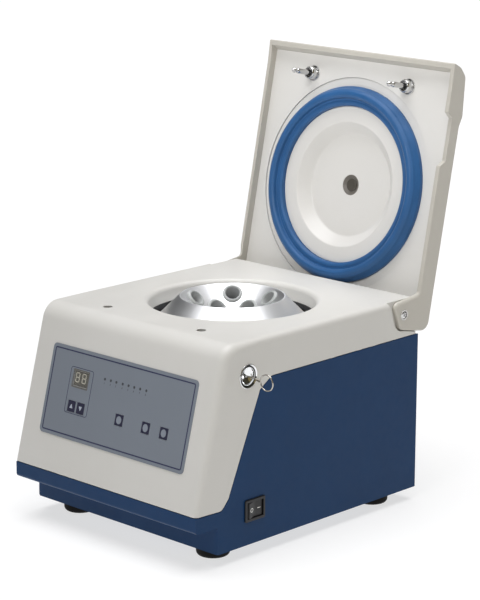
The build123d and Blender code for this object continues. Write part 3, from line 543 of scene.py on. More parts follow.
def loft_body(profile, hw, rfun, seam, cut_front, cut_back):
    """Closed body: an outline in y-z swept across x, its side edges rounded by rfun(s).
    seam runs along the bottom from back to front."""
    st = stations(profile)
    N = 8
    bm = bmesh.new()
    rows = []
    for i, ((y, z), (ny, nz), (ty, tz), s) in enumerate(st):
        r = rfun(s)
        right = []
        for rr in (r, r * LEFT_R):
            side = []
            for k in range(N + 1):
                ph = pi / 2 * (1 - k / N)
                x = hw - rr + rr * sin(ph)
                d = rr * (1 - cos(ph))
                py, pz = y - ny * d, z - nz * d
                if i == 0:
                    a, b = cut_front
                    f = (a + b * py - pz) / (tz - b * ty)
                    py, pz = py + f * ty, pz + f * tz
                if i == len(st) - 1:
                    a, b = cut_back
                    f = (a + b * py - pz) / (tz - b * ty)
                    py, pz = py + f * ty, pz + f * tz
                side.append((x, py, pz))
            right.append(side)
        row = [bm.verts.new(p) for p in right[0]] + [bm.verts.new((-x, py, pz)) for x, py, pz in right[1][::-1]]
        rows.append(row)
    for a, b in zip(rows, rows[1:]):
        for k in range(len(a) - 1):
            bm.faces.new((a[k], a[k + 1], b[k + 1], b[k]))
    sr = [bm.verts.new((hw, y, z)) for y, z in seam]
    sl = [bm.verts.new((-hw, y, z)) for y, z in seam]
    bm.faces.new([r[0] for r in rows] + sr)
    bm.faces.new([r[-1] for r in rows][::-1] + sl[::-1])
    for i in range(len(seam) - 1):
        bm.faces.new((sr[i], sr[i + 1], sl[i + 1], sl[i]))
    bm.faces.new([sr[0], sl[0]] + rows[-1][::-1])
    bm.faces.new(rows[0] + [sl[-1], sr[-1]])
    bmesh.ops.recalc_face_normals(bm, faces=bm.faces)
    return bm


y_tf = SLOPE * (TOP_Z - LIP_Z1)
ZB0 = LIP_Z1 + 0.9
outer_profile = [(0, ZB0, 0), (y_tf, TOP_Z, 22.0), (D, TOP_Z, 10.0), (D, 183.3, 0)]
seam_pts = rounded([(D - 0.5, 183.3), (115.6, 182.1, 4), (97.6, 170.3, 4), (49.5, 58.9, 8), (39.3, 48.1, 8), (12, ZB0 - 0.4)],
                   closed=False, step=12)[1:-1]


def r_outer(s):
    if s < 172.0:
        return 5.0 + 6.0 * (s / 172.0)
    return 11.0 - 4.0 * smooth01((s - 172.0) / 60.0)


front_slope = (48.1 - ZB0) / 39.3
back_slope = (183.3 - 182.1) / (D - 115.6)
outer = loft_body(outer_profile, HW, r_outer, seam_pts, (ZB0, front_slope), (183.3 - back_slope * D, back_slope))
T = 3.0
off = T * math.sqrt(1 + SLOPE ** 2)
inner_profile = [(off - SLOPE * 30, ZB0 - 30, 0), (off + SLOPE * (TOP_Z - T - LIP_Z1), TOP_Z - T, 19.0), (D - T, TOP_Z - T, 7.0),
                 (D - T, 20, 0)]
inner = loft_body(inner_profile, HW - T, lambda s: max(4.0, r_outer(max(0.0, s - 31)) - T), [(D - T - 20, 20), (off + 12, ZB0 - 30)],
                  (ZB0 - 30, 0.0), (20.0, 0.0))
PX = HW - 5.3                      # floor of the hinge pockets
walls = [box(sx * (PX - T) if sx > 0 else -HW - 3, HW + 3 if sx > 0 else sx * (PX - T), 302.5, D + 5, 181.3, TOP_Z + 5)
         for sx in (1, -1)]
hollow = boolean(inner, walls)
SWEEP = 18.7
pocket_pts = [(307.3, TOP_Z + 5), (308.3, 226.2), (311.6, 216.8)] + \
    [(HY + SWEEP * cos(w), HZ + SWEEP * sin(w)) for w in [radians(180 + 6 * k) for k in range(16)]] + \
    [(D + 5, HZ - SWEEP - (D + 5 - HY) * tan(radians(11.85))), (D + 5, TOP_Z + 5)]
pockets = [slab(pocket_pts, min(sx * PX, sx * (HW + 4)), max(sx * PX, sx * (HW + 4)), yz) for sx in (1, -1)]
cover = boolean(outer, [hollow, *pockets])
R0 = 94.6
collar = moved(lathe(rounded([(R0 - 4, 208), (R0 + 3, 208), (R0 + 3, 216, 2), (R0 + 11, TOP_Z - T + 0.3), (R0 + 11, TOP_Z - 0.6), (R0 - 4, TOP_Z - 0.6)]), 192),
               Matrix.Translation((0, YC, 0)))
cover = boolean(cover, [collar], "UNION")
mouth_pts = [(0, 190), (R0, 190)] + [(R0 + 6 - 6 * cos(w), TOP_Z - 6 + 6 * sin(w)) for w in [radians(90 * k / 8) for k in range(9)]] + \
    [(R0 + 6.0, TOP_Z + 3), (0, TOP_Z + 3)]
mouth = moved(lathe(mouth_pts, 192), Matrix.Translation((0, YC, 0)))
cuts = [mouth]
for sx in (-1, 1):
    cuts.append(slab(circle(5.25, 48, sx * 73.2, 78.7), TOP_Z - 9, TOP_Z + 3))
    cuts.append(slab(circle(2.5, 24, HY, HZ), min(sx * (PX - 18), sx * (HW + 3)), max(sx * (PX - 18), sx * (HW + 3)), yz))
cuts.append(slab(circle(9.6, 48, 78.9, 188.4), HW - 8, HW + 3, yz))
DISP = (-74.0, -51.2, 8.9, 26.4)
KEYS = {
    "key_up": (-75.4, -63.9, -20.0, -7.7),
    "key_down": (-60.9, -49.4, -20.0, -7.7),
    "key_speed": (0.8, 12.7, -20.0, -7.7),
    "key_start": (42.1, 54.0, -20.0, -7.7),
    "key_stop": (70.0, 81.9, -20.0, -7.7),
}
TO_MM = MM.inverted()
cuts.append(moved(box(DISP[0] + 0.4, DISP[1] - 0.4, DISP[2] + 0.4, DISP[3] - 0.4, -6, 0.5), TO_MM @ PANEL))
for k in KEYS.values():
    cuts.append(moved(box(k[0] - 0.25, k[1] + 0.25, k[2] - 0.25, k[3] + 0.25, -1.3, 0.5), TO_MM @ PANEL))
cover = boolean(cover, [join(*cuts)])
flat_dissolve(cover, 0.05)
soften(cover, 0.7, 50, 2, lambda e: not (e.verts[0].co.y < 60 and abs(e.verts[0].co.x) < 112 and e.verts[0].co.z > 90 and e.verts[0].co.z < 185))
piece("cover_moulding", cover, "housing", CREAM, slot="cream_moulding", replaces=("upper_cover",), sharp=28)

# ----------------------------------------------------------------- base
from_node("base_chassis", "base_sheet", "housing", NAVY, "navy_steel", 0.55)
from_node("rear_panel", "rear_sheet", "housing", NAVY, "navy_steel", 0.35)


def cross_screw(r_head, h, r_shank, l_shank, arm, width=0.9, dome=True):
    """Pan head screw with a cross recess; head top at z = h, seat at z = 0."""
    prof = [(0, -l_shank), (r_shank, -l_shank), (r_shank, 0), (r_head, 0)]
    if dome:
        prof += [(r_head * cos(radians(a)) if a < 90 else 0.0, h * (0.35 + 0.65 * sin(radians(a)))) for a in range(0, 91, 9)]
    else:
        prof += [(r_head, h * 0.8), (r_head * 0.93, h), (0, h)]
    bm = lathe(prof, 48, closed=False)
    a = boolean(bm, [box(-arm, arm, -width / 2, width / 2, h * 0.35, h + 1)])
    return boolean(a, [box(-width / 2, width / 2, -arm, arm, h * 0.35, h + 1)])


def many(bm, places):
    parts = []
    for m in places:
        parts.append(moved(bm.copy(), m))
    bm.free()
    return join(*parts)


rear_screws = [(sx, sz) for sx in (-132, 132) for sz in (12, 168)] + [(0, 12), (0, 172)]
piece("rear_screw_heads", many(cross_screw(3.6, 2.0, 1.9, 8.0, 2.1, 0.8), [
    Matrix.Translation((x, D, z)) @ Matrix.Rotation(radians(-90), 4, "X") @ Matrix.Rotation(radians(17 * (i + 1)), 4, "Z")
    for i, (x, z) in enumerate(rear_screws)]), "housing", ZINC, slot="steel", replaces=("rear_panel_screws",))

# feet: soft rubber, rounded foot, hollow for the screw
FH = BASE_Z * 1000
foot = rounded([(6.0, -5.0), (6.0, -FH, 0.6), (18.4, -FH, 4.6), (19.0, 0.0, 0.4), (2.5, 0.0), (2.5, -5.0)], step=8)
piece("rubber_foot_set", many(lathe(foot, 72), [Matrix.Translation((x, y, 0)) for x, y in ((106, 63.5), (-106, 63.5), (112, 318), (-112, 318))]),
      "housing", RUBBER, slot="black_rubber", replaces=("rubber_feet",))

# ----------------------------------------------------------------- front film
PW, PH = 227.4, 101.0


def panel_rect(x0, x1, v0, v1, r, step=10.0):
    return rect(x0, x1, v0, v1, r, step)


film = slab(panel_rect(-PW / 2, PW / 2, -PH / 2, PH / 2, 5.0), 0.0, 0.8)
film_cuts = [slab(panel_rect(*DISP, 0.8), -1, 2)]
for k in KEYS.values():
    film_cuts.append(box(k[0] - 0.25, k[1] + 0.25, k[2] - 0.25, k[3] + 0.25, -1, 2))
film = boolean(film, [join(*film_cuts)])
flat_dissolve(film, 0.05)
soften(film, 0.12, 60, 1)
piece("film", film, "housing", FILM, xf=PANEL, slot="panel_grey", replaces=("keypad_overlay",))

UP = 0.80                          # printed marks stand on the film's face
prints = []


def frame_line(x0, x1, v0, v1, r, w, h=0.06):
    return ring_slab(panel_rect(x0, x1, v0, v1, r), panel_rect(x0 + w, x1 - w, v0 + w, v1 - w, max(0.2, r - w)), UP - 0.02, UP + h)


prints.append(frame_line(-PW / 2 + 3.6, PW / 2 - 3.6, -PH / 2 + 3.6, PH / 2 - 3.6, 2.6, 1.45))
piece("film_border_line", join(*prints), "housing", INK_LINE, xf=PANEL, slot="key_navy", weighted=False)
piece("film_display_line", frame_line(-80.0, -43.5, -22.0, 29.9, 3.2, 0.7), "housing", INK_LINE, xf=PANEL, slot="key_navy", weighted=False)
piece("film_window_surround", ring_slab(panel_rect(DISP[0] - 1.5, DISP[1] + 1.5, DISP[2] - 1.6, DISP[3] + 1.5, 1.2), panel_rect(*DISP, 0.8), UP - 0.02, UP + 0.04),
      "housing", INK_BROWN, xf=PANEL, slot="panel_grey", weighted=False)
leds = []
LED_X = [-25.3, -15.9, -7.2, 2.8, 12.0, 20.9, 30.1, 39.6]
for x in LED_X:
    dome = lathe([(1.55, UP - 0.02), (1.5, UP + 0.10), (1.2, UP + 0.22), (0.7, UP + 0.29), (0.0, UP + 0.31), (0.0, UP - 0.02)], 28)
    leds.append(moved(dome, Matrix.Translation((x, 25.2, 0))))
piece("film_lamps", join(*leds), "housing", LED_OFF, xf=PANEL, slot="key_navy", weighted=False)


def words(body, size, x, y, h0, h1, bold=0.0):
    """Plain numbers as solid letters, centred at x, y."""
    cu = bpy.data.curves.new("t", "FONT")
    cu.body, cu.size, cu.align_x, cu.align_y = body, size, "CENTER", "CENTER"
    cu.extrude, cu.offset, cu.resolution_u = (h1 - h0) / 2, bold, 4
    ob = bpy.data.objects.new("t", cu)
    scene.collection.objects.link(ob)
    bpy.context.view_layer.update()
    me = bpy.data.meshes.new_from_object(ob.evaluated_get(bpy.context.evaluated_depsgraph_get()))
    bm = bmesh.new()
    bm.from_mesh(me)
    bpy.data.objects.remove(ob)
    bpy.data.curves.remove(cu)
    bpy.data.meshes.remove(me)
    bmesh.ops.remove_doubles(bm, verts=bm.verts, dist=0.0005)
    bm.transform(Matrix.Translation((x, y, (h0 + h1) / 2)))
    return bm


piece("film_numbers", join(*[words(str(i + 1), 3.0, x, 20.6, UP - 0.02, UP + 0.05, 0.03) for i, x in enumerate(LED_X)]),
      "housing", INK_SOFT, xf=PANEL, slot="key_navy", weighted=False)

# window, display and its digits
piece("window_pane", soften(slab(panel_rect(DISP[0] + 0.02, DISP[1] - 0.02, DISP[2] + 0.02, DISP[3] - 0.02, 0.8), 0.02, 0.78), 0.1, 60, 1),
      "housing", WINDOW, xf=PANEL, slot="smoked_window", replaces=("display_window",))
from_node("display_module", "display_block", "housing", MODULE, "display_face", 0.2)


def segment(x0, y0, x1, y1, w=1.15):
    """One bar of a seven bar digit, with pointed ends."""
    d = Vector((x1 - x0, y1 - y0)).normalized()
    n = Vector((-d.y, d.x)) * w / 2
    a, b = Vector((x0, y0)) + d * 0.12, Vector((x1, y1)) - d * 0.12
    k = d * w / 2
    pts = [a, a + k + n, b - k + n, b, b - k - n, a + k - n]
    return slab([(p.x, p.y) for p in pts], -0.32, -0.16)


segs = []
for x0, x1 in ((-71.2, -65.9), (-60.9, -55.6)):
    v0, v1, v2 = 13.9, 18.9, 23.9
    q = [(x0, x1, v0, v0), (x0, x1, v1, v1), (x0, x1, v2, v2)]
    for a, b, c, d in q:
        segs.append(segment(a, c, b, d))
    for a in (x0, x1):
        segs.append(segment(a, v0, a, v1))
        segs.append(segment(a, v1, a, v2))
piece("display_digits", join(*segs), "housing", DIGIT, xf=PANEL, slot="display_face", weighted=False)

# keys
KZ = 1.05
for name, k in KEYS.items():
    body = name.replace("key_", "keycap_")
    cx, cy = (k[0] + k[1]) / 2, (k[2] + k[3]) / 2
    cap = soften(slab(panel_rect(k[0], k[1], k[2], k[3], 0.8), -0.7, KZ), 0.28, 60, 3)
    piece(name + "_cap", cap, body, INK, xf=PANEL, slot="key_navy", replaces=(name,))
    if name in ("key_up", "key_down"):
        s = 1 if name == "key_up" else -1
        tri = rounded([(cx - 2.6, cy - s * 2.2, 0.3), (cx + 2.6, cy - s * 2.2, 0.3), (cx, cy + s * 2.9, 0.3)], step=30)
        mark = slab(tri, KZ - 0.02, KZ + 0.06)
        piece(name + "_mark", mark, body, INK_LIGHT, xf=PANEL, slot="panel_grey", weighted=False)
    else:
        oval = [(cx + 3.9 * cos(2 * pi * i / 48), cy + 4.3 * sin(2 * pi * i / 48)) for i in range(48)]
        piece(name + "_mark", soften(slab(oval, KZ - 0.02, KZ + 0.12), 0.06, 60, 2), body, KEY_FACE, xf=PANEL, slot="panel_grey")

# ----------------------------------------------------------------- chamber
for node, m in (("chamber_bowl", BOWL), ("chamber_ring", STEEL), ("chamber_seal", SEAL)):
    nodes[node].data.materials.clear()
    nodes[node].data.materials.append(m)

# ----------------------------------------------------------------- rotor
from_node("rotor_head", "rotor_body", "rotor", ALLOY, "rotor_alloy", 0.25, 2, 55)
RING1, RING2 = (47.0, 221.5), (34.4, 208.9)
A0 = 133.8


def tube_place(ring, ang):
    return Matrix.Translation((0, YC, 0)) @ Matrix.Rotation(radians(ang), 4, "Z") @ \
        Matrix.Translation((ring[0], 0, ring[1])) @ Matrix.Rotation(radians(-45), 4, "Y")


places = [tube_place(RING1, A0 + 60 * i) for i in range(6)] + [tube_place(RING2, A0 + 30 + 60 * i) for i in range(6)]
sleeve = rounded([(8.25, 0.3, 0.2), (8.6, 0.85, 0.2), (9.7, 0.85, 0.15), (9.9, 0.35, 0.05), (10.1, 0.5, 0.1), (11.1, -0.3, 0.3), (11.2, -1.78),
                  (9.88, -1.78), (9.88, -70.6, 3.0), (0, -70.6), (0, -69.0), (7.9, -69.0), (7.9, -66.0), (8.25, -66.0)], step=20)
piece("sleeve_set", many(lathe(sleeve, 64), places), "rotor", SLEEVE, slot="sleeve_alloy", replaces=("tube_sleeves",))
bore = [(8.23, 0.1), (8.23, -66.0), (7.85, -66.0), (7.85, -65.9), (8.08, -65.9), (8.08, 0.1)]
piece("sleeve_linings", many(lathe(bore, 64), places), "rotor", SLEEVE_IN, slot="sleeve_alloy")
from_node("rotor_nut", "rotor_nut_dome", "rotor", STEEL, "steel", 0.3)

# ----------------------------------------------------------------- lid
N_LINER, N_RIM, N_OUT, N_HOOD, U_BACK = -31.6, -22.5, -47.9, -51.5, -17.5
shell_pts = [(288.2, -21.0, 1.6, 1.1), (285.2, -35.0, 12.0, 3.0), (275.6, -46.3, 10.0, 3.0), (229.7, N_HOOD, 6.0, 3.0), (218.0, N_OUT, 6.0, 3.0),
             (U_BACK, N_OUT, 12.0, 3.0), (U_BACK, -20.0, 0, 1.6), (U_BACK, 1.8, 7.0, 1.6), (-4.0, 10.7, 0, 1.8), (10.3, 20.1, 12.5, 4.3),
             (24.6, N_RIM, 5.0, 3.8), (38.0, N_RIM, 0, 1.5), (262.0, N_RIM, 30.0, 1.3)]


def rounded_with(pts, step):
    """Rounded closed outline that keeps a second radius for each corner, blended between corners."""
    geo = [(HY - u, HZ - n, r) for u, n, r, _ in pts]
    out = []
    for i in range(len(geo)):
        tri = [geo[i - 1][:2], geo[i], geo[(i + 1) % len(geo)][:2]]
        arc = rounded([(*tri[0], 0), tri[1], (*tri[2], 0)], closed=False, step=step)[1:-1]
        for p in arc:
            out.append((p, pts[i][3]))
    dense = []
    for i in range(len(out)):
        (p, e), (q, f) = out[i], out[(i + 1) % len(out)]
        dense.append((p, e))
        d = hypot(q[0] - p[0], q[1] - p[1])
        if abs(e - f) > 0.01 and d > 6:
            for k in (0.25, 0.5, 0.75):
                dense.append(((p[0] + (q[0] - p[0]) * k, p[1] + (q[1] - p[1]) * k), e + (f - e) * smooth01(k)))
    return dense


def round_prism(line, hw, N=5):
    """Prism over a closed y-z outline with rounded side edges."""
    bm = bmesh.new()
    n = len(line)
    area = sum(line[i][0][0] * line[(i + 1) % n][0][1] - line[(i + 1) % n][0][0] * line[i][0][1] for i in range(n))
    sgn = 1 if area > 0 else -1
    rows = []
    for i in range(n):
        (a, b), e = line[i]
        p, q = line[i - 1][0], line[(i + 1) % n][0]
        v = Vector((a - p[0], b - p[1])).normalized() + Vector((q[0] - a, q[1] - b)).normalized()
        v.normalize()
        ny, nz = v.y * sgn, -v.x * sgn          # outward
        row = []
        for k in range(N + 1):
            ph = pi / 2 * (1 - k / N)
            d = e * (1 - cos(ph))
            row.append((hw - e + e * sin(ph), a - ny * d, b - nz * d))
        rows.append([bm.verts.new(p) for p in row] + [bm.verts.new((-x, y, z)) for x, y, z in row[::-1]])
    for i in range(n):
        a, b = rows[i], rows[(i + 1) % n]
        for k in range(len(a) - 1):
            bm.faces.new((a[k], a[k + 1], b[k + 1], b[k]))
    bm.faces.new([r[0] for r in rows])
    bm.faces.new([r[-1] for r in rows][::-1])
    bmesh.ops.recalc_face_normals(bm, faces=bm.faces)
    return bm


def lid_yz(pts):
    return [(HY - u, HZ - n, *r) for u, n, *r in pts]


WALL = 5.0
shell = round_prism(rounded_with(shell_pts, 8.0), HW)
tray = slab(rounded(lid_yz([(282.2, 60, 0), (282.2, -20, 0), (273.5, -41.2, 8.0), (266.0, -44.9, 4.0), (-14.3, -44.9, 9.0), (-14.3, 60, 0)])),
            -HW + WALL, HW - WALL, yz)
between = slab(lid_yz([(35, N_LINER), (35, 60), (-40, 60), (-40, N_LINER)]), -HW + WALL, HW - WALL, yz)
notch = slab(lid_yz([(171.0, N_RIM + 8), (171.0, N_RIM), (177.5, N_LINER), (226.0, N_LINER), (232.5, N_RIM), (232.5, N_RIM + 8)]),
             HW - WALL - 1.5, HW + 3, yz)
sight = slab(circle(9.0, 64, 0, YC), HZ + 30, HZ + 60)
bush_holes = [slab(circle(5.0, 40, HY, HZ), sx * HW - 8, sx * HW + 8, yz) for sx in (-1, 1)]
shell = boolean(shell, [tray, between])
shell = boolean(shell, [notch, sight, join(*bush_holes)])
flat_dissolve(shell, 0.05)
soften(shell, 0.9, 50, 3)
# the lid moulding takes the darkened cream copy: painted shade on its sides
piece("lid_moulding", shell, "lid", CREAM_LID_PAINTED_SHADE, xf=LID, slot="cream_moulding", replaces=("lid_shell",), sharp=30)

LZ = HZ - N_LINER                  # face of the inner panel, lid closed
liner = slab(lid_yz([(277.3, N_LINER), (275.5, N_LINER - 4.0), (-14.2, N_LINER - 4.0), (-14.2, N_LINER)]), -HW + WALL + 0.1, HW - WALL - 0.1, yz)
liner_cuts = [slab(circle(125.7, 256, 0, YC), LZ - 1, LZ + 2.5), slab(circle(96.0, 192, 0, YC), LZ - 2, LZ + 8)] + \
    [slab(circle(3.0, 32, sx * 73.2, 78.7), LZ - 2, LZ + 8) for sx in (-1, 1)]
liner = boolean(liner, liner_cuts[:1])
liner = boolean(liner, liner_cuts[1:])
flat_dissolve(liner, 0.05)
soften(liner, 0.35, 60, 2)
piece("lid_inner_panel", liner, "lid", LINER, xf=LID, slot="white_liner", replaces=("lid_liner",))


def lid_lathe(name, pts, m, segs=256, slot=None, replaces=(), step=9.0, **kw):
    return piece(name, moved(lathe(rounded(pts, step=step), segs), Matrix.Translation((0, YC, 0))), "lid", m, xf=LID, slot=slot,
                 replaces=replaces, **kw)


lid_lathe("lid_round_plate", [(96.0, LZ + 1.3), (124.9, LZ + 1.3, 0.5), (125.2, LZ + 1.6, 0.2), (125.2, LZ + 2.5), (96.0, LZ + 2.5)], LINER,
          slot="white_liner", replaces=("lid_disc",))
BEAD = HZ + 17.7
lid_lathe("lid_seal_ring", [
    (115.2, LZ + 1.3, 0.3), (115.2, LZ - 3.3, 2.5), (112.0, BEAD + 5.6, 1.2), (111.0, BEAD + 3.0, 1.6), (107.6, BEAD + 0.2, 4.0),
    (103.6, BEAD, 2.5), (101.2, BEAD + 1.6, 1.4), (100.2, BEAD + 5.3, 0.9), (97.6, BEAD + 5.6, 0.7), (96.9, BEAD + 5.0, 0.7), (94.2, BEAD + 5.2, 0.8),
    (92.1, BEAD + 6.8, 1.0), (92.1, LZ + 4.2), (95.9, LZ + 4.2), (95.9, LZ + 1.3)],
    GASKET, slot="blue_gasket", replaces=("lid_gasket",), sharp=60)
DZ, FZ = HZ + 29.1, HZ + 41.8
lid_lathe("lid_dish_cup", [
    (92.0, DZ, 0.8), (92.0, LZ + 4.1), (78.0, LZ + 4.1, 2.0), (66.0, FZ + 1.5, 2.0), (12.1, FZ + 1.5), (12.1, FZ, 0.7), (60.4, FZ, 3.5), (73.3, DZ, 3.0)],
    DISH, slot="white_liner", replaces=("lid_dish",), sharp=50)
lid_lathe("lid_port_ring", [(12.05, FZ + 0.5, 0.2), (12.05, FZ + 3.4), (7.4, FZ + 3.4), (7.4, FZ + 3.0), (11.4, FZ + 0.6, 0.2)], PORT_RIM, 96,
          slot="black_plastic")
lid_lathe("lid_port_pane", [(7.38, FZ + 1.9, 0.3), (6.8, FZ + 1.7, 0.3), (0.0, FZ + 1.5), (0.0, FZ + 3.0), (7.38, FZ + 3.0)], PORT_GLASS, 96,
          slot="clear_window", replaces=("lid_port_window",))

# latch pins
pin = rounded([(0, LZ + 4.3), (2.95, LZ + 4.3), (2.95, LZ - 3.0), (3.25, LZ - 3.0), (3.25, HZ + 3.0, 0.6), (2.9, HZ + 1.2, 0.4), (2.0, HZ + 0.2, 0.3),
               (2.0, HZ - 3.7, 0.3), (3.2, HZ - 4.1, 0.25), (2.9, HZ - 5.0, 0.4), (0.7, HZ - 7.9, 0.5), (0, HZ - 7.9)], step=15)
collar_pts = [(3.3, LZ - 4.0), (5.3, LZ - 4.0, 0.4), (5.7, LZ - 10.5, 0.3), (6.5, LZ - 10.5, 0.5), (7.6, LZ - 9.0, 1.5), (8.0, LZ - 6.2, 2.0), (7.6, LZ - 3.0, 1.4), (6.6, LZ - 1.7, 0.4), (9.1, LZ - 1.6, 0.3),
              (9.2, LZ, 0.2), (3.3, LZ)]
at = [Matrix.Translation((sx * 73.2, 78.7, 0)) for sx in (-1, 1)]
piece("latch_pin_pair", many(lathe(pin, 48), at), "lid", PIN_STEEL, xf=LID, slot="chrome", replaces=("latch_pins",))
piece("latch_collar_pair", many(lathe(rounded(collar_pts, step=10), 64), at), "lid", PIN_STEEL, xf=LID, slot="chrome", replaces=("latch_pin_collars",))

# hinge
screws, bushes = [], []
for sx in (-1, 1):
    turn = Matrix.Translation((sx * HW, HY, HZ)) @ Matrix.Rotation(radians(90 * sx), 4, "Y")
    s = cross_screw(4.4, 2.1, 3.4, 3.7, 2.5, 0.9)
    s = join(moved(s, Matrix.Translation((0, 0, -1.6))), moved(lathe([(0, -19), (2.42, -19), (2.42, -5.3), (0, -5.3)], 32), Matrix.Identity(4)))
    screws.append(moved(s, turn @ Matrix.Rotation(radians(20 * sx), 4, "Z")))
    b = lathe(rounded([(3.45, -4.9), (4.98, -4.9), (4.98, 0.0), (6.2, 0.0, 0.1), (6.2, 0.6, 0.3), (4.65, 0.6, 0.2), (4.65, -1.7), (3.45, -1.7)]), 48)
    bushes.append(moved(b, turn))
piece("hinge_screw_pair", join(*screws), "housing", ZINC, slot="steel", replaces=("hinge_screws",))
piece("hinge_bush_pair", join(*bushes), "lid", STEEL, slot="steel", replaces=("hinge_bushes",), xf=MM)

# ----------------------------------------------------------------- release cup, cable, ring
cup_pts = [(1.75, -7.4), (9.4, -7.4), (9.4, -0.2), (13.4, -0.2), (13.4, 0.6, 0.3), (12.9, 1.0, 0.4)] + \
    [(12.7 * t, 0.9 - 6.35 * (1 - t ** 2.2)) for t in (1.0, 0.94, 0.87, 0.8, 0.72, 0.64, 0.56, 0.48, 0.4, 0.32, 0.24)] + [(1.75, -5.45)]
cup = lathe(rounded([p if len(p) == 3 else (*p, 0) for p in cup_pts], step=12), 96)
piece("cup_polished", moved(cup, Matrix.Translation((HW + 0.2, 78.9, 188.4)) @ Matrix.Rotation(radians(90), 4, "Y")), "housing", CHROME,
      slot="chrome", replaces=("release_cup",), sharp=50)


def sweep(points, r, sides=10, closed=False):
    """Round wire along points."""
    bm = bmesh.new()
    n = len(points)
    P = [Vector(p) for p in points]
    rings = []
    up = Vector((0, 1, 0.02)).normalized()
    for i in range(n):
        a = P[i - 1] if (i or closed) else P[i]
        b = P[(i + 1) % n] if (i < n - 1 or closed) else P[i]
        d = (b - a).normalized()
        u = (up - d * up.dot(d)).normalized()
        v = d.cross(u)
        rings.append([bm.verts.new(P[i] + u * r * cos(2 * pi * k / sides) + v * r * sin(2 * pi * k / sides)) for k in range(sides)])
    for i in range(n if closed else n - 1):
        a, b = rings[i], rings[(i + 1) % n]
        for k in range(sides):
            bm.faces.new((a[k], a[(k + 1) % sides], b[(k + 1) % sides], b[k]))
    if not closed:
        bm.faces.new(rings[0][::-1])
        bm.faces.new(rings[-1])
    bmesh.ops.recalc_face_normals(bm, faces=bm.faces)
    return bm


CUP_Y, CUP_Z = 78.9, 188.4
straight = HW + 7.0
line = [(112.0 + (straight - 112.0) * k / 40, CUP_Z) for k in range(41)]
line += [(straight + 14.0 * sin(radians(a)), CUP_Z - 14.0 * (1 - cos(radians(a)))) for a in (2.8, 5.6, 8.4, 11.2, 14.0)]
ex, ez = line[-1]
cd, sd = cos(radians(14)), sin(radians(14))
line += [(ex + cd * t, ez - sd * t) for t in (0.9, 1.8, 2.6)]
fx, fz = line[-1]
gx, gz = fx + cd * 4.4, fz - sd * 4.4
strands = []
for s in range(6):
    path, dist = [], 0.0
    for i, (x, z) in enumerate(line):
        if i:
            dist += hypot(x - line[i - 1][0], z - line[i - 1][1])
        w = 2 * pi * (dist / 7.0 + s / 6)
        path.append((x, CUP_Y + 0.48 * cos(w), z + 0.48 * sin(w)))
    strands.append(sweep(path, 0.26, 8))
strands.append(sweep([(x, CUP_Y, z) for x, z in line], 0.26, 8))
piece("release_cable", join(*strands), "release", CABLE, slot="steel", replaces=("pull_cable",), weighted=False)
lo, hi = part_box("pull_ring")
rc = TO_MM @ ((lo + hi) / 2) + Vector((-0.5 * cd, 0.0, 0.5 * sd))
piece("ring_wire", sweep([(rc.x + 8.75 * cos(2 * pi * k / 96), rc.y, rc.z + 8.75 * sin(2 * pi * k / 96)) for k in range(96)], 0.74, 16, True),
      "release", WIRE, slot="steel", replaces=("pull_ring",), weighted=False)

# ----------------------------------------------------------------- power switch
from_node("switch_bezel", "switch_frame", "housing", BLACK_SWITCH, "black_plastic", 0.3)
from_node("power_rocker", "switch_rocker", "rocker", BLACK_SWITCH, "black_plastic", 0.5, 3, 60)
PIV = Vector((HW - 3.4, 89.6, 38.6))
ROCK = Matrix.Translation(PIV) @ Matrix.Rotation(radians(7.0), 4, "Z")


def rocker_mark(bm, side):
    """Marks lie on the rocker's two sloping faces: front half side=-1, rear half side=+1."""
    ang = math.atan2(5.2 - 3.3, 11.6) * side
    face = Matrix.Translation((3.3 + (5.2 - 3.3) * 6.2 / 11.6, 6.2 * side, 0)) @ Matrix.Rotation(-ang, 4, "Z")
    return moved(bm, ROCK @ face @ Matrix.Rotation(radians(90), 4, "Y"))


ring_mark = ring_slab(circle(2.35, 48), circle(1.55, 48), -0.03, 0.08)
ring_mark.transform(Matrix.Scale(1.3, 4, (0, 1, 0)))
piece("switch_mark_off", rocker_mark(ring_mark, -1), "rocker", MARK, slot="black_plastic", weighted=False)
piece("switch_mark_on", rocker_mark(slab(rect(-0.42, 0.42, -2.3, 2.3, 0.15), -0.03, 0.08), 1), "rocker", MARK, slot="black_plastic", weighted=False)

# ----------------------------------------------------------------- rear fittings
from_node("power_inlet", "inlet_body", "housing", BLACK_INLET, "black_plastic", 0.35)
from_node("fuse_holder", "fuse_cap", "housing", BLACK_ABS, "black_plastic", 0.3)

# ----------------------------------------------------------------- hidden parts and small steel parts
carried = {
    "cable_ferrules": CABLE, "cover_screws": ZINC, "foot_screws": ZINC, "latch_bar": STEEL, "latch_guides": BLACK_ABS,
    "lid_switch": BLACK_ABS, "control_board": BOARD, "control_board_parts": BLACK_ABS, "board_screws": ZINC, "bowl_spacers": RUBBER,
    "motor_mount_plate": STEEL, "mount_posts": ZINC, "plate_screws": ZINC, "motor_dampers": RUBBER, "motor_housing": MOTOR,
    "motor_stator": COPPER, "motor_bearings": STEEL, "motor_armature": LAMINATE, "motor_shaft": STEEL, "drive_board": BOARD,
    "drive_board_parts": CASTING, "board_standoffs": ZINC, "power_transformer": LAMINATE, "tube_cushions": RUBBER,
}
for name, m in carried.items():
    nodes[name].data.materials.clear()
    nodes[name].data.materials.append(m)

# ----------------------------------------------------------------- stage
floor_bm = bmesh.new()
bmesh.ops.create_grid(floor_bm, x_segments=24, y_segments=24, size=26.0)
floor_me = bpy.data.meshes.new("floor")
floor_bm.to_mesh(floor_me)
floor_bm.free()
floor = bpy.data.objects.new("floor", floor_me)
scene.collection.objects.link(floor)
fm = Mat("floor_pale", (0.34, 0.34, 0.34, 1), 0.85, spec=0.1, Emission_Color=(1, 1, 1, 1), Emission_Strength=0.67)
fm.vary(0.006, 2.0)
floor_me.materials.append(fm.m)

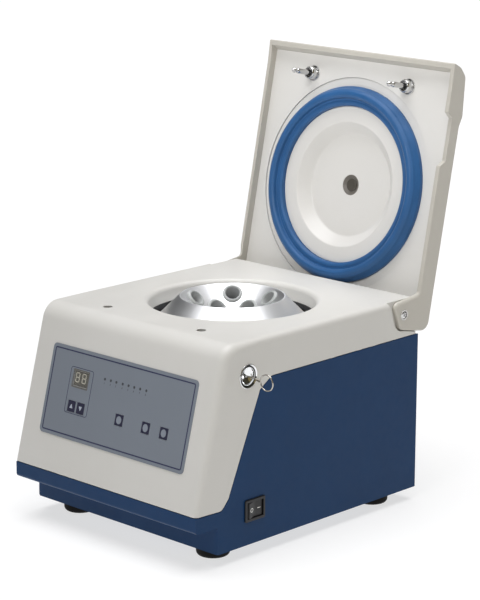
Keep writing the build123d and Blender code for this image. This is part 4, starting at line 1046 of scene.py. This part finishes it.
world = bpy.data.worlds.new("studio")
scene.world = world
world.use_nodes = True
wt = world.node_tree
bg = wt.nodes["Background"]
wc = wt.nodes.new("ShaderNodeTexCoord")
ws = wt.nodes.new("ShaderNodeSeparateXYZ")
wt.links.new(wc.outputs["Generated"], ws.inputs[0])
wm = wt.nodes.new("ShaderNodeMapRange")
wm.inputs["From Min"].default_value, wm.inputs["From Max"].default_value = -1.0, 1.0
wt.links.new(ws.outputs["X"], wm.inputs["Value"])
wr = wt.nodes.new("ShaderNodeValToRGB")
wr.color_ramp.elements[0].position, wr.color_ramp.elements[0].color = 0.0, (0.07, 0.072, 0.075, 1)
wr.color_ramp.elements[1].position, wr.color_ramp.elements[1].color = 1.0, (0.04, 0.035, 0.02, 1)
wt.links.new(wm.outputs["Result"], wr.inputs["Fac"])
wt.links.new(wr.outputs["Color"], bg.inputs["Color"])
bg.inputs["Strength"].default_value = 1.0


def soft_sun(name, towards, angle, strength, colour=(1, 1, 1)):
    la = bpy.data.lights.new(name, "SUN")
    la.angle, la.energy, la.color = radians(angle), strength, colour
    ob = bpy.data.objects.new(name, la)
    ob.rotation_euler = Vector(towards).to_track_quat("-Z", "Y").to_euler()
    scene.collection.objects.link(ob)
    return ob


soft_sun("ceiling", (0.03, 0.0, -1.0), 55.0, 3.26, (0.995, 1.0, 1.02))
soft_sun("warm_side", (-1.0, 0.25, -0.35), 50.0, 0.09, (1.0, 0.78, 0.36))
fill = bpy.data.lights.new("lid_fill", "SPOT")
fill.energy, fill.spot_size, fill.spot_blend, fill.shadow_soft_size = 45.0, radians(29), 0.9, 0.25
fill_ob = bpy.data.objects.new("lid_fill", fill)
fill_ob.location = (0.28, -1.0, 1.12)
fill_ob.rotation_euler = Vector((-0.27, 1.2, -0.65)).to_track_quat("-Z", "Y").to_euler()
scene.collection.objects.link(fill_ob)
near = bpy.data.lights.new("front_fill", "SPOT")
near.energy, near.spot_size, near.spot_blend, near.shadow_soft_size = 3.6, radians(36), 1.0, 0.15
near_ob = bpy.data.objects.new("front_fill", near)
near_ob.location = (0.42, -0.84, 0.56)
near_ob.rotation_euler = Vector((-0.28, 0.68, -0.44)).to_track_quat("-Z", "Y").to_euler()
scene.collection.objects.link(near_ob)

# ----------------------------------------------------------------- camera
yaw, pitch, roll = radians(43.82), radians(13.97), radians(0.21)
fwd = Vector((-sin(yaw) * cos(pitch), cos(yaw) * cos(pitch), -sin(pitch)))
right = Vector((cos(yaw), sin(yaw), 0.0))
up = right.cross(fwd)
r2 = right * cos(roll) + up * sin(roll)
u2 = -right * sin(roll) + up * cos(roll)
cam_data = bpy.data.cameras.new("camera")
cam = bpy.data.objects.new("camera", cam_data)
scene.collection.objects.link(cam)
cam_data.sensor_fit, cam_data.sensor_width, cam_data.lens = "AUTO", 36.0, 142.66
cam_data.clip_start, cam_data.clip_end = 0.05, 60.0
cam_data.dof.use_dof = False
rot = Matrix((r2, u2, -fwd)).transposed()
cam.matrix_world = Matrix.Translation((1.8085, -1.8495, 0.8723 + BASE_Z)) @ rot.to_4x4()
scene.camera = cam
scene.view_settings.view_transform = "Standard"
